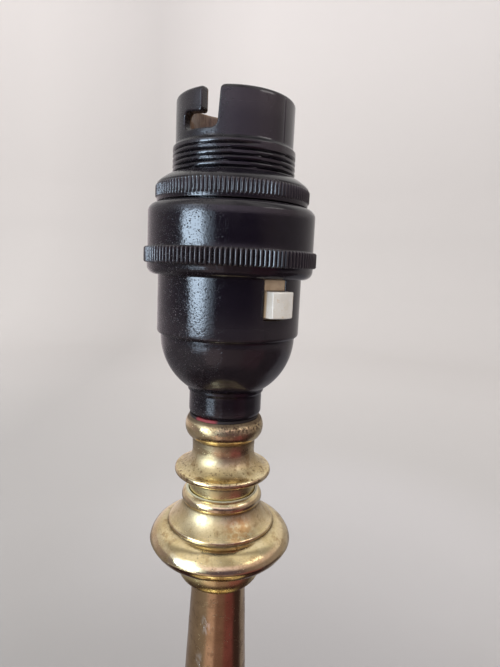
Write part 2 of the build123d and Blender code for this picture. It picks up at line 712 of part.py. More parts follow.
def detent_spring():
    low = BAR_Z - BAR_CLEAR - DETENT_POCKET
    crown = BAR_Z + DETENT_BITE
    flat = low + DETENT_THICK
    half = DETENT_BUMP_HALF / 2
    ramp = DETENT_BUMP_HALF + DETENT_RAMP
    lean = ramp - DETENT_RAMP_LEAN
    under = crown - DETENT_THICK
    drop = DETENT_CROWN_DROP
    outline = Polyline(
        (-DETENT_HALF_L, low), (-ramp, low), (-half, under - drop), (0, under), (half, under - drop),
        (ramp, low), (DETENT_HALF_L, low), (DETENT_HALF_L, flat), (lean, flat), (half, crown - drop),
        (0, crown), (-half, crown - drop), (-lean, flat), (-DETENT_HALF_L, flat), close=True)
    return to_switch(extrude(Plane.XZ * make_face(outline), DETENT_HALF_W, both=True))


def rocker():
    fork = ROCKER_FORK_HALF
    prong = fork + ROCKER_PRONG
    profile = Circle(ROCKER_HUB_R) + Pos(0, ROCKER_FINGER_L / 2) * Rectangle(ROCKER_FINGER_W, ROCKER_FINGER_L)
    profile += Pos(0, -ROCKER_FORK_L / 2) * Rectangle(2 * prong, ROCKER_FORK_L)
    slot_top = -(ROCKER_PIVOT_H - PEG_R - 2 * PEG_CLEAR)
    profile -= Pos(0, slot_top) * Circle(fork)
    profile -= Pos(0, (slot_top - ROCKER_FORK_L) / 2) * Rectangle(2 * fork, ROCKER_FORK_L + slot_top)
    profile -= Circle(PIN_R + PIN_CLEAR)
    lever = extrude(Plane.XZ * profile, ROCKER_THICK / 2, both=True)
    return to_switch(Pos(0, 0, PIVOT_Z) * Rot(0, -ROCKER_TILT, 0) * lever)


def rocker_pin():
    pin = Cylinder(PIN_R, 2 * CHEEK_OUT)
    return to_switch(Pos(0, 0, PIVOT_Z) * Rot(90, 0, 0) * pin)


def rocker_bracket():
    plate = block(-CHEEK_HALF_X, PLATE_END, -PLATE_HALF_Y, PLATE_HALF_Y, METAL_Z, METAL_TOP_Z)
    hole = Pos(0, 0, PIVOT_Z) * Rot(90, 0, 0) * Cylinder(PIN_R, 4 * CHEEK_OUT)
    bracket = plate
    for side in (-1, 1):
        inner, outer = sorted((side * CHEEK_IN, side * CHEEK_OUT))
        bracket = bracket + block(
            -CHEEK_HALF_X, CHEEK_HALF_X, inner, outer, PIVOT_Z - CHEEK_DROP, METAL_Z)
    return to_switch(bracket - hole)


def blade_x():
    """Inner face of the fixed blade, just past the tipped rocker's finger."""
    tilt = math.radians(ROCKER_TILT)
    reach = ROCKER_FINGER_L * math.sin(tilt) + ROCKER_FINGER_W / 2 * math.cos(tilt)
    return reach + BLADE_CLEAR


def blade_low():
    """Underside of the fixed blade's arm, below the rocker finger's tip."""
    return PIVOT_Z + BLADE_CLEAR / 2 + ROCKER_FINGER_L - BLADE_ARM_H


def live_blade():
    face = blade_x()
    low = blade_low()
    arm = block(face, face + BLADE_THICK, -ROCKER_THICK / 2, BLADE_OUT, low, low + BLADE_ARM_H)
    leg = block(face, face + BLADE_THICK, BLADE_OUT - BLADE_LEG_W, BLADE_OUT, SEAT_Z, low)
    return to_switch(arm + leg)


def neutral_blade():
    plate = block(-PLATE_END, -NEUTRAL_EDGE, -PLATE_HALF_Y, PLATE_HALF_Y, METAL_Z, METAL_TOP_Z)
    strip_low = -NEUTRAL_EDGE - STRIP_W
    strip_high = -NEUTRAL_EDGE
    tongue = block(strip_low, strip_high, -BLADE_OUT, -PLATE_HALF_Y, METAL_Z, METAL_TOP_Z)
    leg = block(strip_low, strip_high, -BLADE_OUT, -BLADE_OUT + BLADE_THICK, SEAT_Z, METAL_Z)
    return to_switch(plate + tongue + leg)


def terminal_places():
    """Centres of the live and neutral terminals, and the way their screws face."""
    live = (blade_x() + BLADE_THICK / 2, BLADE_OUT - BLADE_LEG_W / 2, 1)
    neutral = (-STRIP_X, -BLADE_OUT + BLADE_THICK / 2, -1)
    return live, neutral


def screw_axis(place):
    """Place of a clamp screw: its outer face on the terminal, pointing away from the lamp's axis."""
    x, y, side = place
    return Pos(x, y + side * TERMINAL_W / 2, SEAT_Z - CLAMP_HEIGHT) * Rot(-90 * side, 0, 0)


def terminal(place):
    x, y, side = place
    half = TERMINAL_W / 2
    low = SEAT_Z - TERMINAL_H
    body = block(x - half, x + half, y - half, y + half, low, SEAT_Z)
    body = body - rod(WIRE_HOLE_R, low, low + WIRE_HOLE_DEPTH, x, y)
    hole = Cylinder(CLAMP_SCREW_R + SCREW_CLEAR, half, align=(Align.CENTER, Align.CENTER, Align.MAX))
    return to_switch(body - screw_axis(place) * hole)


def clamp_screw(place):
    shank_l = TERMINAL_W / 2 - WIRE_HOLE_R / 2
    shank = Cylinder(CLAMP_SCREW_R, shank_l, align=(Align.CENTER, Align.CENTER, Align.MAX))
    head = Cylinder(CLAMP_HEAD_R, CLAMP_HEAD_H, align=(Align.CENTER, Align.CENTER, Align.MIN))
    slot = Pos(0, 0, CLAMP_HEAD_H) * Box(3 * CLAMP_HEAD_R, SCREW_SLOT_W, SCREW_SLOT_D)
    return to_switch(screw_axis(place) * (shank + head - slot))


def contact_block():
    roof = METAL_TOP_Z
    body = rod(CONTACT_FLANGE_R, BODY_TOP_Z, SKIRT_Z) + rod(CONTACT_BOSS_R, SKIRT_Z, CONTACT_TOP_Z)
    body = body - rod(BLOCK_BOSS_R + CONTACT_RECESS_CLEAR, BODY_TOP_Z, roof)
    lip = CONTACT_TOP_Z - PLUNGER_LIP
    for side in (-1, 1):
        body = body - rod(PLUNGER_WELL_R, roof, lip, side * PLUNGER_X)
        body = body - rod(PLUNGER_HOLE_R, lip, CONTACT_TOP_Z, side * PLUNGER_X)
        body = body - rod(SCREW_R + SCREW_CLEAR, roof, CONTACT_TOP_Z, 0, side * SCREW_SPREAD)
        head_r = SCREW_HEAD_R + 2 * SCREW_CLEAR
        body = body - rod(head_r, CONTACT_TOP_Z - SCREW_HEAD_H, CONTACT_TOP_Z, 0, side * SCREW_SPREAD)
    return to_switch(body)


def block_screw(side):
    head_z = CONTACT_TOP_Z - SCREW_HEAD_H
    low = METAL_Z - SCREW_BITE
    screw = rod(SCREW_R, low, head_z) + rod(SCREW_HEAD_R, head_z, CONTACT_TOP_Z)
    slot = Pos(0, 0, CONTACT_TOP_Z) * Box(3 * SCREW_HEAD_R, SCREW_SLOT_W, 2 * SCREW_SLOT_D)
    return to_switch(Pos(0, side * SCREW_SPREAD, 0) * (screw - slot))


def shoulder_top():
    """Top of a plunger's shoulder, under the lip of its well."""
    return CONTACT_TOP_Z - PLUNGER_LIP - PLUNGER_REST_GAP


def plunger(side):
    top = shoulder_top()
    low = top - PLUNGER_SHOULDER_H
    tip = CONTACT_TOP_Z + PLUNGER_OUT
    soft = PLUNGER_TIP_ROUND * ARC_SHARE
    body = turned(
        (0, low - PLUNGER_SPIGOT_H), (PLUNGER_SPIGOT_R, low - PLUNGER_SPIGOT_H), (PLUNGER_SPIGOT_R, low),
        (PLUNGER_SHOULDER_R, low), (PLUNGER_SHOULDER_R, top), (PLUNGER_R, top),
        (PLUNGER_R, tip - PLUNGER_TIP_ROUND),
        ((PLUNGER_R - soft, tip - soft), (PLUNGER_R - PLUNGER_TIP_ROUND, tip)), (0, tip))
    return to_switch(Pos(side * PLUNGER_X, 0, 0) * body)


def plunger_spring(side):
    """Coil between the metal seat and the plunger's shoulder, on arcs of a quarter turn."""
    low = METAL_TOP_Z + SPRING_WIRE_R
    high = shoulder_top() - PLUNGER_SHOULDER_H - SPRING_WIRE_R
    radius = PLUNGER_WELL_R - SPRING_BORE_CLEAR - SPRING_WIRE_R
    quarters = 4 * SPRING_TURNS

    def on_coil(step):
        angle = step * math.pi / 2
        return (radius * math.cos(angle), radius * math.sin(angle), low + (high - low) * step / quarters)

    edges = [ThreePointArc(on_coil(i), on_coil(i + 0.5), on_coil(i + 1)) for i in range(quarters)]
    path = Wire(edges)
    section = Plane(origin=path @ 0, z_dir=path % 0) * Circle(SPRING_WIRE_R)
    coil = sweep(section, path=path)
    return to_switch(Pos(side * PLUNGER_X, 0, 0) * coil)


def slot_outline():
    """Outline of one bayonet slot, sideways by height, seen from outside."""
    rim = SKIRT_TOP_Z
    above = rim + SKIRT_FLANGE_H
    floor = rim - SLOT_FLOOR
    shoulder = SLOT_SHOULDER
    soft = shoulder * ARC_SHARE
    right = SLOT_RIGHT_TOP + shoulder
    slot = make_face(Polyline(
        (SLOT_RIGHT_TOP, above), (SLOT_RIGHT_LOW, floor), (SLOT_LEFT, floor), (SLOT_LEFT, rim - SLOT_END_TOP),
        (SLOT_TAB, rim - SLOT_TAB_LOW), (SLOT_TAB, above), close=True))

    def corner(x, y):
        return slot.vertices().sort_by(lambda v: (v.X - x) ** 2 + (v.Y - y) ** 2)[0]

    wide = [corner(SLOT_RIGHT_LOW, floor), corner(SLOT_LEFT, floor), corner(SLOT_LEFT, rim - SLOT_END_TOP)]
    slot = fillet(wide, SLOT_CORNER)
    slot = fillet(slot.vertices().sort_by(
        lambda v: (v.X - SLOT_TAB) ** 2 + (v.Y - rim + SLOT_TAB_LOW) ** 2)[0], SLOT_TAB_ROUND)
    mouth = make_face([
        Line((SLOT_RIGHT_TOP - shoulder, rim - shoulder), (SLOT_RIGHT_TOP, rim - shoulder)),
        ThreePointArc((SLOT_RIGHT_TOP, rim - shoulder), (SLOT_RIGHT_TOP + soft, rim - soft), (right, rim)),
        Line((right, rim), (right, above)),
        Line((right, above), (SLOT_RIGHT_TOP - shoulder, above)),
        Line((SLOT_RIGHT_TOP - shoulder, above), (SLOT_RIGHT_TOP - shoulder, rim - shoulder))])
    return slot, mouth


def slot_plane(azimuth):
    """Upright plane through the axis, facing an azimuth counted to the right from the front."""
    angle = math.radians(azimuth)
    side = (math.cos(angle), math.sin(angle), 0)
    return Plane(origin=(0, 0, 0), x_dir=side, z_dir=(math.sin(angle), -math.cos(angle), 0))


def screw_groove():
    """Right-hand thread groove that runs out at the top, to the right of the front."""
    height = SCREW_PITCH * SCREW_TURNS
    top = SKIRT_Z + SCREW_TOP_H - SCREW_TOP_LAND
    path = Helix(SCREW_PITCH, height, SCREW_CREST_R)
    section = Plane.XZ * make_face(Polyline(
        (SCREW_CREST_R - SCREW_DEPTH, 0), (SCREW_CREST_R + SCREW_DEPTH, -SCREW_GROOVE_W),
        (SCREW_CREST_R + SCREW_DEPTH, SCREW_GROOVE_W), close=True))
    groove = sweep(section, path=path, is_frenet=True)
    turn = SCREW_END_AZIMUTH - 90 - 360 * SCREW_TURNS
    return Pos(0, 0, top - height) * Rot(0, 0, turn) * groove


def bayonet_skirt():
    rim = SKIRT_TOP_Z
    flange = SKIRT_Z + SKIRT_FLANGE_H
    crest = SKIRT_Z + SCREW_TOP_H
    soft = RIM_ROUND * ARC_SHARE
    inner = RIM_INNER_ROUND * ARC_SHARE
    step = rim - SOCKET_DEPTH
    body = turned(
        (RELIEF_R, SKIRT_Z), (SKIRT_FLANGE_R, SKIRT_Z), (SKIRT_FLANGE_R, flange),
        (SCREW_CREST_R, flange), (SCREW_CREST_R, crest),
        (SKIRT_R, crest + SCREW_RUNOUT), (SKIRT_R, rim - RIM_ROUND),
        ((SKIRT_R - soft, rim - soft), (SKIRT_R - RIM_ROUND, rim)),
        (SOCKET_R + RIM_INNER_ROUND, rim),
        ((SOCKET_R + inner, rim - inner), (SOCKET_R, rim - RIM_INNER_ROUND)),
        (SOCKET_R, step), (RELIEF_R, step))
    slot, mouth = slot_outline()
    for azimuth in (SLOT_AZIMUTH, SLOT_AZIMUTH + 180):
        place = slot_plane(azimuth)
        for face in (slot, mouth):
            body = body - extrude(place * face, 2 * SKIRT_R)
    return body - screw_groove()


def coupling_ring():
    low = COUPLING_Z
    top = COUPLING_TOP_Z
    bore = COUPLING_BORE_R
    foot = COUPLING_FOOT_ROUND
    head = COUPLING_TOP_ROUND
    foot_soft = foot * ARC_SHARE
    head_soft = head * ARC_SHARE
    knurl_low = low + COUPLING_KNURL_LOW
    knurl_high = low + COUPLING_KNURL_HIGH
    body = turned(
        (bore, low), (COUPLING_LIP_R - foot, low),
        ((COUPLING_LIP_R - foot_soft, low + foot_soft), (COUPLING_LIP_R, low + foot)),
        (COUPLING_LIP_R, knurl_low), (COUPLING_R, knurl_low), (COUPLING_R, top - head),
        ((COUPLING_R - head_soft, top - head_soft), (COUPLING_R - head, top)),
        (SCREW_CREST_R + RING_CLEAR, top), (SCREW_CREST_R + RING_CLEAR, top - COUPLING_PLATE),
        (bore, top - COUPLING_PLATE))
    return body + knurl(COUPLING_KNURL_R, knurl_low, knurl_high)


def shade_ring():
    low = SHADE_RING_Z
    top = low + SHADE_RING_H
    bore = SHADE_BORE_R
    lip = bore + SHADE_TOP_WALL
    knurl_low = low + SHADE_KNURL_LOW
    knurl_high = low + SHADE_KNURL_HIGH
    body = turned(
        (bore, low), (SHADE_RING_R, low), (SHADE_RING_R, knurl_high + SHADE_TOP_LAND),
        ((between(lip, SHADE_RING_R, SHADE_TOP_OUT), between(knurl_high, top, SHADE_TOP_UP)), (lip, top)),
        (bore, top))
    return body + knurl(SHADE_KNURL_R, knurl_low, knurl_high)


LIVE, NEUTRAL = terminal_places()

save(baize_pad(), "baize_pad")
save(bottom_plate(), "bottom_plate")
save(base_shell(), "base_shell")
save(base_weight(), "base_weight")
save(base_washer(), "base_washer")
save(base_nut(), "base_nut")
save(cord_bush(), "cord_bush")
save(tie_tube(), "tie_tube")
save(base_collar(), "base_collar")
save(column(), "column")
save(upper_knop(), "upper_knop")
save(top_nozzle(), "top_nozzle")
save(fibre_washer(), "fibre_washer")
save(lower_body(), "lower_body")
save(switch_block(), "switch_block")
save(push_bar(), "push_bar")
save(detent_spring(), "detent_spring")
save(rocker(), "rocker")
save(rocker_pin(), "rocker_pin")
save(rocker_bracket(), "rocker_bracket")
save(live_blade(), "live_blade")
save(neutral_blade(), "neutral_blade")
save(terminal(LIVE), "terminal_live")
save(terminal(NEUTRAL), "terminal_neutral")
save(Compound(children=[clamp_screw(LIVE), clamp_screw(NEUTRAL)]), "terminal_screws")
save(contact_block(), "contact_block")
save(Compound(children=[block_screw(-1), block_screw(1)]), "block_screws")
save(plunger(1), "plunger_live")
save(plunger(-1), "plunger_neutral")
save(plunger_spring(1), "plunger_spring_live")
save(plunger_spring(-1), "plunger_spring_neutral")
save(bayonet_skirt(), "bayonet_skirt")
save(coupling_ring(), "coupling_ring")
save(shade_ring(), "shade_ring")
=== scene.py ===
"""Looks of the column table lamp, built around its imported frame. Sizes are in millimetres unless noted."""

import json
import math

import bmesh
import bpy
import numpy as np
from mathutils import Matrix, Vector


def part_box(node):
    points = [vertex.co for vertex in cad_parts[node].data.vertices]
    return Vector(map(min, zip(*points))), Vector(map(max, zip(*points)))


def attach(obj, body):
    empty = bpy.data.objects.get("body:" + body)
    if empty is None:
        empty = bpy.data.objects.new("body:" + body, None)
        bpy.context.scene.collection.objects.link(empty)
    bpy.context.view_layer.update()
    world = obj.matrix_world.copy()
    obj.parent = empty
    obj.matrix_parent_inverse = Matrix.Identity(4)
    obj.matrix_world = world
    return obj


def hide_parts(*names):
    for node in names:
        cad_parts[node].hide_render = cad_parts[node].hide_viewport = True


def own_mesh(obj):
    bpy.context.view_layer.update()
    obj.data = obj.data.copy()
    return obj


MM = 0.001

# Camera, from the photograph: close by, level with the lampholder's middle and looking down a little
EYE = (0.0, -116.6, 260.0)
HEADING = 2.68
PITCH = 8.11
ROLL = 2.55
FOCAL_PIXELS = 480.0
IMAGE_HEIGHT = 667
SENSOR = 36.0
NEAREST_M = 0.004
FARTHEST_M = 20.0

# Heights of the stack, as in the CAD
PAD_TOP = 2.0
COLLAR_Z = 34.0
COLUMN_Z = 49.0
KNOP_Z = 179.0
RIM_Z = 203.8
NOZZLE_TOP_Z = 223.0
HOLDER_Z = 223.6
SEAT_Z = 246.8
BAR_Z = 249.0
BODY_TOP_Z = 266.0
COUPLING_Z = 257.0
COUPLING_TOP_Z = 273.1
SKIRT_Z = 268.2
SHADE_RING_Z = 273.4
SHADE_RING_TOP_Z = 280.1
SKIRT_TOP_Z = 296.25

# Felt under the base, with how ragged its rim and its underside are
FELT_ROUND = 0.6
FELT_ROW = 6.0
FELT_COLUMNS = 360
FELT_FIBRE = 1.1
FELT_FRAY = 0.10
FELT_NAP = 0.05

# Fibre washer: the azimuth of its red stretch, and the cosines of where its grime and painted shade begin and
# end
FIBRE_AZIMUTH = -30.0
FIBRE_DARK_COSINE = 0.93
FIBRE_RED_COSINE = 0.97

# Brass stack, after the CAD. Rises are heights from KNOP_Z or RIM_Z, pairs are (outward, upward) offsets
# from a ring, and shares are parts of the way between two places.
TUBE_R = 5.0
TUBE_HOLE_R = 5.3
THREAD_CLEAR = 0.08
SPIGOT_H = 3.0
SPIGOT_CLEAR = 0.1
BASE_TOP_R = 18.5
BASE_SPIGOT_R = 9.9
COLLAR_BEAD_R = 20.2
COLLAR_NECK_R = 14.2
COLLAR_LIP_R = 15.2
COLLAR_SHARES = (0.24, 0.46, 0.78)
COLLAR_COVE_IN = 1.0
COLLAR_COVE_OUT = 0.6
COLLAR_COVE_SHARE = 0.35
COLUMN_FOOT_R = 12.6
COLUMN_TOP_R = 6.9
COLUMN_SPIGOT_R = 6.1
COLUMN_WALL = 1.6
COLUMN_TOP_LAND = 12.0
KNOP_FOOT_R = 7.6
KNOP_CUP_R = 10.7
KNOP_BULGE_R = 17.95
KNOP_CREASE_R = 13.3
KNOP_WAIST_R = 9.75
KNOP_COLLAR_R = 10.15
KNOP_RIM_R = 8.9
KNOP_RECESS = 3.0
KNOP_RISES = (7.4, 11.8, 15.9, 21.7)
KNOP_CUP_ARC = (-0.7, 1.78)
KNOP_CUP_TOP = (0.0, -0.8)
KNOP_CUP_LIP = (-0.5, 0.0)
KNOP_UNDER_IN = 2.0
KNOP_UNDER_SHARE = 0.62
KNOP_OVER_IN = 1.45
KNOP_OVER_SHARE = 0.68
KNOP_STEP = (0.05, 0.54)
KNOP_STEP_ARC = (-0.12, 0.98)
KNOP_STEP_TOP = (-0.5, 1.2)
KNOP_DOME_ARC = (1.0, -2.6)
KNOP_COLLAR_SHARE = 0.45
NOZZLE_NECK_R = 8.3
NOZZLE_FLANGE_R = 12.08
NOZZLE_WAIST_R = 7.75
NOZZLE_BEAD_R = 9.66
NOZZLE_TOP_R = 8.7
NOZZLE_RISES = (2.6, 5.1, 5.9, 10.6, 13.3, 15.9)
NOZZLE_COVE_ARC = (-1.6, 1.1)
NOZZLE_EDGE_IN = 0.35
NOZZLE_EDGE_DROP = 0.75
NOZZLE_WAIST_ARC = (0.85, 1.7)
NOZZLE_WAIST_FLARE = 0.1
NOZZLE_BEAD_FOOT = (-1.3, 0.35)
RECESS_CLEAR = 0.15

# Wear of the brass: soft corners, dents, grime with painted shadow under the lampholder, belts, stains,
# smears and dried polish
BRASS_SOFT = 0.10
BRASS_DENTS = 0.012
DENT_SIZE = 6.0
SOIL_AND_SHADOW_REACH = 5.0
SOIL_AZIMUTH = 32.0
GOLDEN_BELTS = ((RIM_Z, RIM_Z + 2.4), (KNOP_Z, KNOP_Z + 6.8))
DULL_BELTS = ((KNOP_Z + 17.4, KNOP_Z + 21.4), (RIM_Z + 6.4, RIM_Z + 10.4))
FLANGE_BELT = (RIM_Z + 4.6, RIM_Z + 9.0)
BELT_SOFT = 0.5
STAIN_SPOT = (4.6, -10.6, 197.4)
STAIN_SIZE = 5.0
SMEARS = ((-2.85, -6.70, 169.6), (-4.25, -6.50, 159.0))
SMEAR_SIZE = 1.5
SMEAR_SQUEEZE = 0.42
RESIDUE_REACH = 0.17

# Lampholder body and switch, after the CAD, with a slimmer dome
NECK_R = 8.92
NECK_H = 5.6
NECK_CHAMFER_H = 0.9
NECK_CHAMFER = 0.42
NECK_BEAD_R = 9.35
NECK_BEAD_RISE = 0.35
NECK_BEAD_H = 6.8
DOME_FOOT_R = 10.0
DOME_FOOT_H = 7.1
DOME_R = 16.2
DOME_TOP_H = 18.9
DOME_SHARES = (0.722, 0.4446)
BODY_R = 17.1
BODY_STEP_H = 20.3
BODY_STEP_LOW = 0.6
BODY_STEP_ARC = (-0.25, -0.35)
BODY_STEP_HIGH = 0.3
BODY_WALL = 2.5
BODY_SEAT = 1.4
BODY_FLOOR = 3.0
HOLLOW_SHARES = (0.72, 0.38)
SWITCH_AZIMUTH = 36.0
BAR_W = 5.75
BAR_CLEAR = 0.13
WINDOW_BELOW = 0.65
WINDOW_CORNER = 0.4
WINDOW_EDGE = 0.22
BAR_WINDOW = 14.0

# Bayonet skirt, after the CAD, with its slots measured down from the rim and sideways from their middle
SKIRT_R = 13.6
SKIRT_FLANGE_R = 17.0
SKIRT_FLANGE_H = 2.5
SOCKET_R = 11.25
SOCKET_DEPTH = 9.05
SOCKET_STEP = 0.2
SOCKET_RELIEF = 0.35
RIM_ROUND = 0.8
RIM_INNER_ROUND = 0.4
SCREW_CREST_R = 14.2
SCREW_TOP_Z = 285.6
SCREW_RUN_OUT = 0.55
SCREW_END_Z = 284.78
SCREW_END_AZIMUTH = 22.0
SCREW_PITCH = 1.165
SCREW_DEPTH = 0.5
SCREW_HALF_W = 0.30
SCREW_TURNS = 8.0
SCREW_FADE = 0.06
SEAM_AZIMUTH = 50.6
SEAM_DEEP = 0.13
SEAM_W = 0.13
SEAM_ABOVE = 0.6
SLOT_AZIMUTH = -35.0
SLOT_WINDOW = 33.0
SLOT_RIGHT_TOP = 4.85
SLOT_RIGHT_LOW = 4.3
SLOT_LEFT = -4.45
SLOT_TAB = 0.72
SLOT_FLOOR = 8.4
SLOT_TAB_LOW = 5.15
SLOT_END_TOP = 4.4
SLOT_CORNER = 1.4
SLOT_TAB_ROUND = 0.55
SLOT_SHOULDER = 1.6
SLOT_LIP = 0.32
SLOT_EDGE = 0.30

# Knurled rings, after the CAD, with a lower and slimmer top on the shade ring
KNURL_COUNT = 122
KNURL_DEPTH = 0.5
KNURL_VALLEY = 0.41
KNURL_CHAMFER = 0.3
RING_CLEAR = 0.2
COUPLING_R = 19.57
COUPLING_KNURL_R = 20.4
COUPLING_LIP_R = 19.7
COUPLING_PLATE = 2.4
COUPLING_TOP_ROUND = 2.0
COUPLING_FOOT_ROUND = 2.1
COUPLING_BAND = (COUPLING_Z + 2.66, COUPLING_Z + 6.3)
SHADE_BORE_R = 14.45
SHADE_RING_R = 17.6
SHADE_KNURL_R = 17.95
SHADE_TOP_WALL = 0.5
SHADE_TOP_DROP = 0.6
SHADE_SLOPE_SHARES = (0.60, 0.58)
SHADE_EDGE_H = 0.36
SHADE_BAND = (SHADE_RING_Z + 0.88, SHADE_RING_Z + 3.83)

# Wear of the mouldings: their pitted side, their dusty side with painted glints of the window light, stains
# on the press bar, and rubbed knurls with painted highlight
PITTED_AZIMUTH = -40.0
DUST_AND_GLINT_AZIMUTH = -52.0
BAR_STAIN = (0.1, 0.6)
KNURL_WEAR_AND_HIGHLIGHT = 2.2

# How the meshes are divided and softened: turns are in degrees, and rows in millimetres
COLLAR_COLUMNS = 192
COLUMN_COLUMNS = 160
KNOP_COLUMNS = 224
NOZZLE_COLUMNS = 208
KNURL_COLUMNS = 10 * KNURL_COUNT
BAR_TURN = 0.7
SLOT_TURN = 0.9
SEAM_TURNS = (-1.2, -0.7, -0.35, 0.0, 0.35, 0.7, 1.2)
SCREW_ROW = 0.14
TURN = 2 * math.pi
ARC_SHARE = 1 - math.sqrt(0.5)
SPACING = 0.06
ROW_BEND = math.radians(9)
ROW_LONGEST = 1.6
WALL_ROW = 0.4
WALL_TURN = 2.0
MOULD_SOFT = 0.11
HOLLOW_WIDTH = 0.7
HOLLOW_DEEP = 0.20
EDGE_HIGH = 0.22
ROUND_STEPS = (0.134, 0.5, 1.0)
RIPPLE_WAVES = 28
WELD = 0.0005
SHARP = math.radians(48)

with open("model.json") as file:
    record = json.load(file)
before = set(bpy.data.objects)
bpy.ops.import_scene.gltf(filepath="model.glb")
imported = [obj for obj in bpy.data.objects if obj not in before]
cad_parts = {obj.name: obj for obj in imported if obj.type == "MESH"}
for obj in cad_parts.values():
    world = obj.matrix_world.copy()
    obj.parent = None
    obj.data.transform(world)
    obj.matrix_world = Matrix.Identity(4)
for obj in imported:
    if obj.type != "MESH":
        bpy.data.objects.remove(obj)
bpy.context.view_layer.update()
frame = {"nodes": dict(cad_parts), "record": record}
nodes = frame["nodes"]
slots = {name: node.data.materials[0].name for name, node in nodes.items()}
body_of = {name: body for body, members in frame["record"]["behaviour"]["bodies"].items() for name in members}


def between(start, end, share):
    """Value part of the way from one to another."""
    return start + (end - start) * share


def polar(azimuth, distance, height):
    """Point at an azimuth counted in degrees to the right from the front."""
    angle = math.radians(azimuth)
    return (distance * math.sin(angle), -distance * math.cos(angle), height)


# Shader helpers: they work in the node tree that their first value belongs to

def feed(socket, value):
    """Puts a link or a value on a socket. Colours are opaque."""
    if isinstance(value, bpy.types.NodeSocket):
        socket.id_data.links.new(value, socket)
    elif socket.type == "RGBA":
        socket.default_value = (*value, 1.0)
    else:
        socket.default_value = value


def add(tree, kind, inputs=None, **settings):
    """Node with its settings, and with values or links on its inputs."""
    made = tree.nodes.new(kind)
    for key, value in settings.items():
        setattr(made, key, value)
    for socket, value in (inputs or {}).items():
        feed(made.inputs[socket], value)
    return made


def vectors(operation, a, b=(0, 0, 0)):
    """Sum of two vectors, or their product, or the length of one and so on."""
    made = add(a.id_data, "ShaderNodeVectorMath", {0: a, 1: b}, operation=operation)
    return made.outputs["Value" if operation in ("DOT_PRODUCT", "LENGTH") else "Vector"]


def stretched(vector, x, y, z):
    """Vector with each axis scaled by its own factor."""
    return vectors("MULTIPLY", vector, (x, y, z))


def new_material(name):
    """Material with its main shader, and the place on the object in millimetres."""
    material = bpy.data.materials.new(name + "_finish")
    material.use_nodes = True
    tree = material.node_tree
    spot = add(tree, "ShaderNodeTexCoord").outputs["Object"]
    return material, tree.nodes["Principled BSDF"], stretched(spot, 1 / MM, 1 / MM, 1 / MM)


def axis(vector, name):
    """One coordinate of a vector."""
    return add(vector.id_data, "ShaderNodeSeparateXYZ", {0: vector}).outputs[name]


def outwards(vector):
    """Level way from the lamp's axis to a place."""
    return vectors("NORMALIZE", stretched(vector, 1, 1, 0))


def around_axis(vector, around, along):
    """Coordinates that run round the lamp's axis and along it."""
    return vectors("ADD", stretched(outwards(vector), around, around, 0), stretched(vector, 0, 0, along))


def noise(vector, scale, detail=3.0, rough=0.55):
    """Soft noise from 0 to 1, with scale in features per unit."""
    inputs = {"Vector": vector, "Scale": scale, "Detail": detail, "Roughness": rough}
    return add(vector.id_data, "ShaderNodeTexNoise", inputs).outputs["Fac"]


def ease(value, low, high, start=0.0, end=1.0):
    """Value mapped smoothly from low..high to start..end."""
    inputs = {"Value": value, "From Min": low, "From Max": high, "To Min": start, "To Max": end}
    return add(value.id_data, "ShaderNodeMapRange", inputs, interpolation_type="SMOOTHSTEP").outputs["Result"]


def calc(operation, a, b):
    """Sum of two values, or their angle and so on."""
    return add(a.id_data, "ShaderNodeMath", {0: a, 1: b}, operation=operation).outputs[0]


def times(a, b):
    """Product of two values."""
    return calc("MULTIPLY", a, b)


def either(a, b):
    """Larger of two values."""
    return calc("MAXIMUM", a, b)


def blend(share, a, b):
    """Colour between two colours."""
    return add(share.id_data, "ShaderNodeMix", {0: share, 6: a, 7: b}, data_type="RGBA").outputs[2]


def coated(base, *coats):
    """Colour with coats of (mask, strength, colour) on it."""
    for mask, strength, tint in coats:
        base = blend(times(mask, strength), base, tint)
    return base


def roughened(rough, *coats):
    """Roughness with an amount of each (mask, amount) added to it."""
    for mask, amount in coats:
        rough = calc("ADD", rough, times(mask, amount))
    return rough


def bump(height, strength, distance, normal=None):
    """Normal tilted by a height, with distance in millimetres."""
    inputs = {"Height": height, "Strength": strength, "Distance": distance * MM}
    if normal is not None:
        inputs["Normal"] = normal
    return add(height.id_data, "ShaderNodeBump", inputs).outputs["Normal"]


def facing(vector, azimuth, low, high):
    """Mask of the side of the lamp that faces an azimuth."""
    return ease(vectors("DOT_PRODUCT", outwards(vector), polar(azimuth, 1, 0)), low, high)


def dots(vector, scale, size, share):
    """Scattered round spots: one in each of some cells, with scale in cells per unit."""
    cells = add(vector.id_data, "ShaderNodeTexVoronoi", {"Vector": vector, "Scale": scale}).outputs
    chosen = add(vector.id_data, "ShaderNodeSeparateColor", {0: cells["Color"]}).outputs[0]
    return times(ease(chosen, share, share + 0.02), ease(cells["Distance"], 0.6 * size, size, 1.0, 0.0))


def near(vector, spot, size, squeeze=1.0):
    """Mask of what lies within a size of a place, longer upright when squeezed by less than 1."""
    away = stretched(vectors("SUBTRACT", vector, spot), 1, 1, squeeze)
    return ease(vectors("LENGTH", away), 0.4 * size, size, 1.0, 0.0)


def belt(height, low, high):
    """Mask of what lies between two heights, with soft ends."""
    rising = ease(height, low - BELT_SOFT, low + BELT_SOFT)
    return times(rising, ease(height, high - BELT_SOFT, high + BELT_SOFT, 1.0, 0.0))


def attribute(shader, name):
    """Value that the mesh keeps at its points."""
    return add(shader.id_data, "ShaderNodeAttribute", attribute_name=name).outputs["Fac"]


def dress(shader, **sockets):
    """Puts links or values on the main shader's sockets."""
    for name, value in sockets.items():
        feed(shader.inputs[name.replace("_", " ")], value)


# Materials

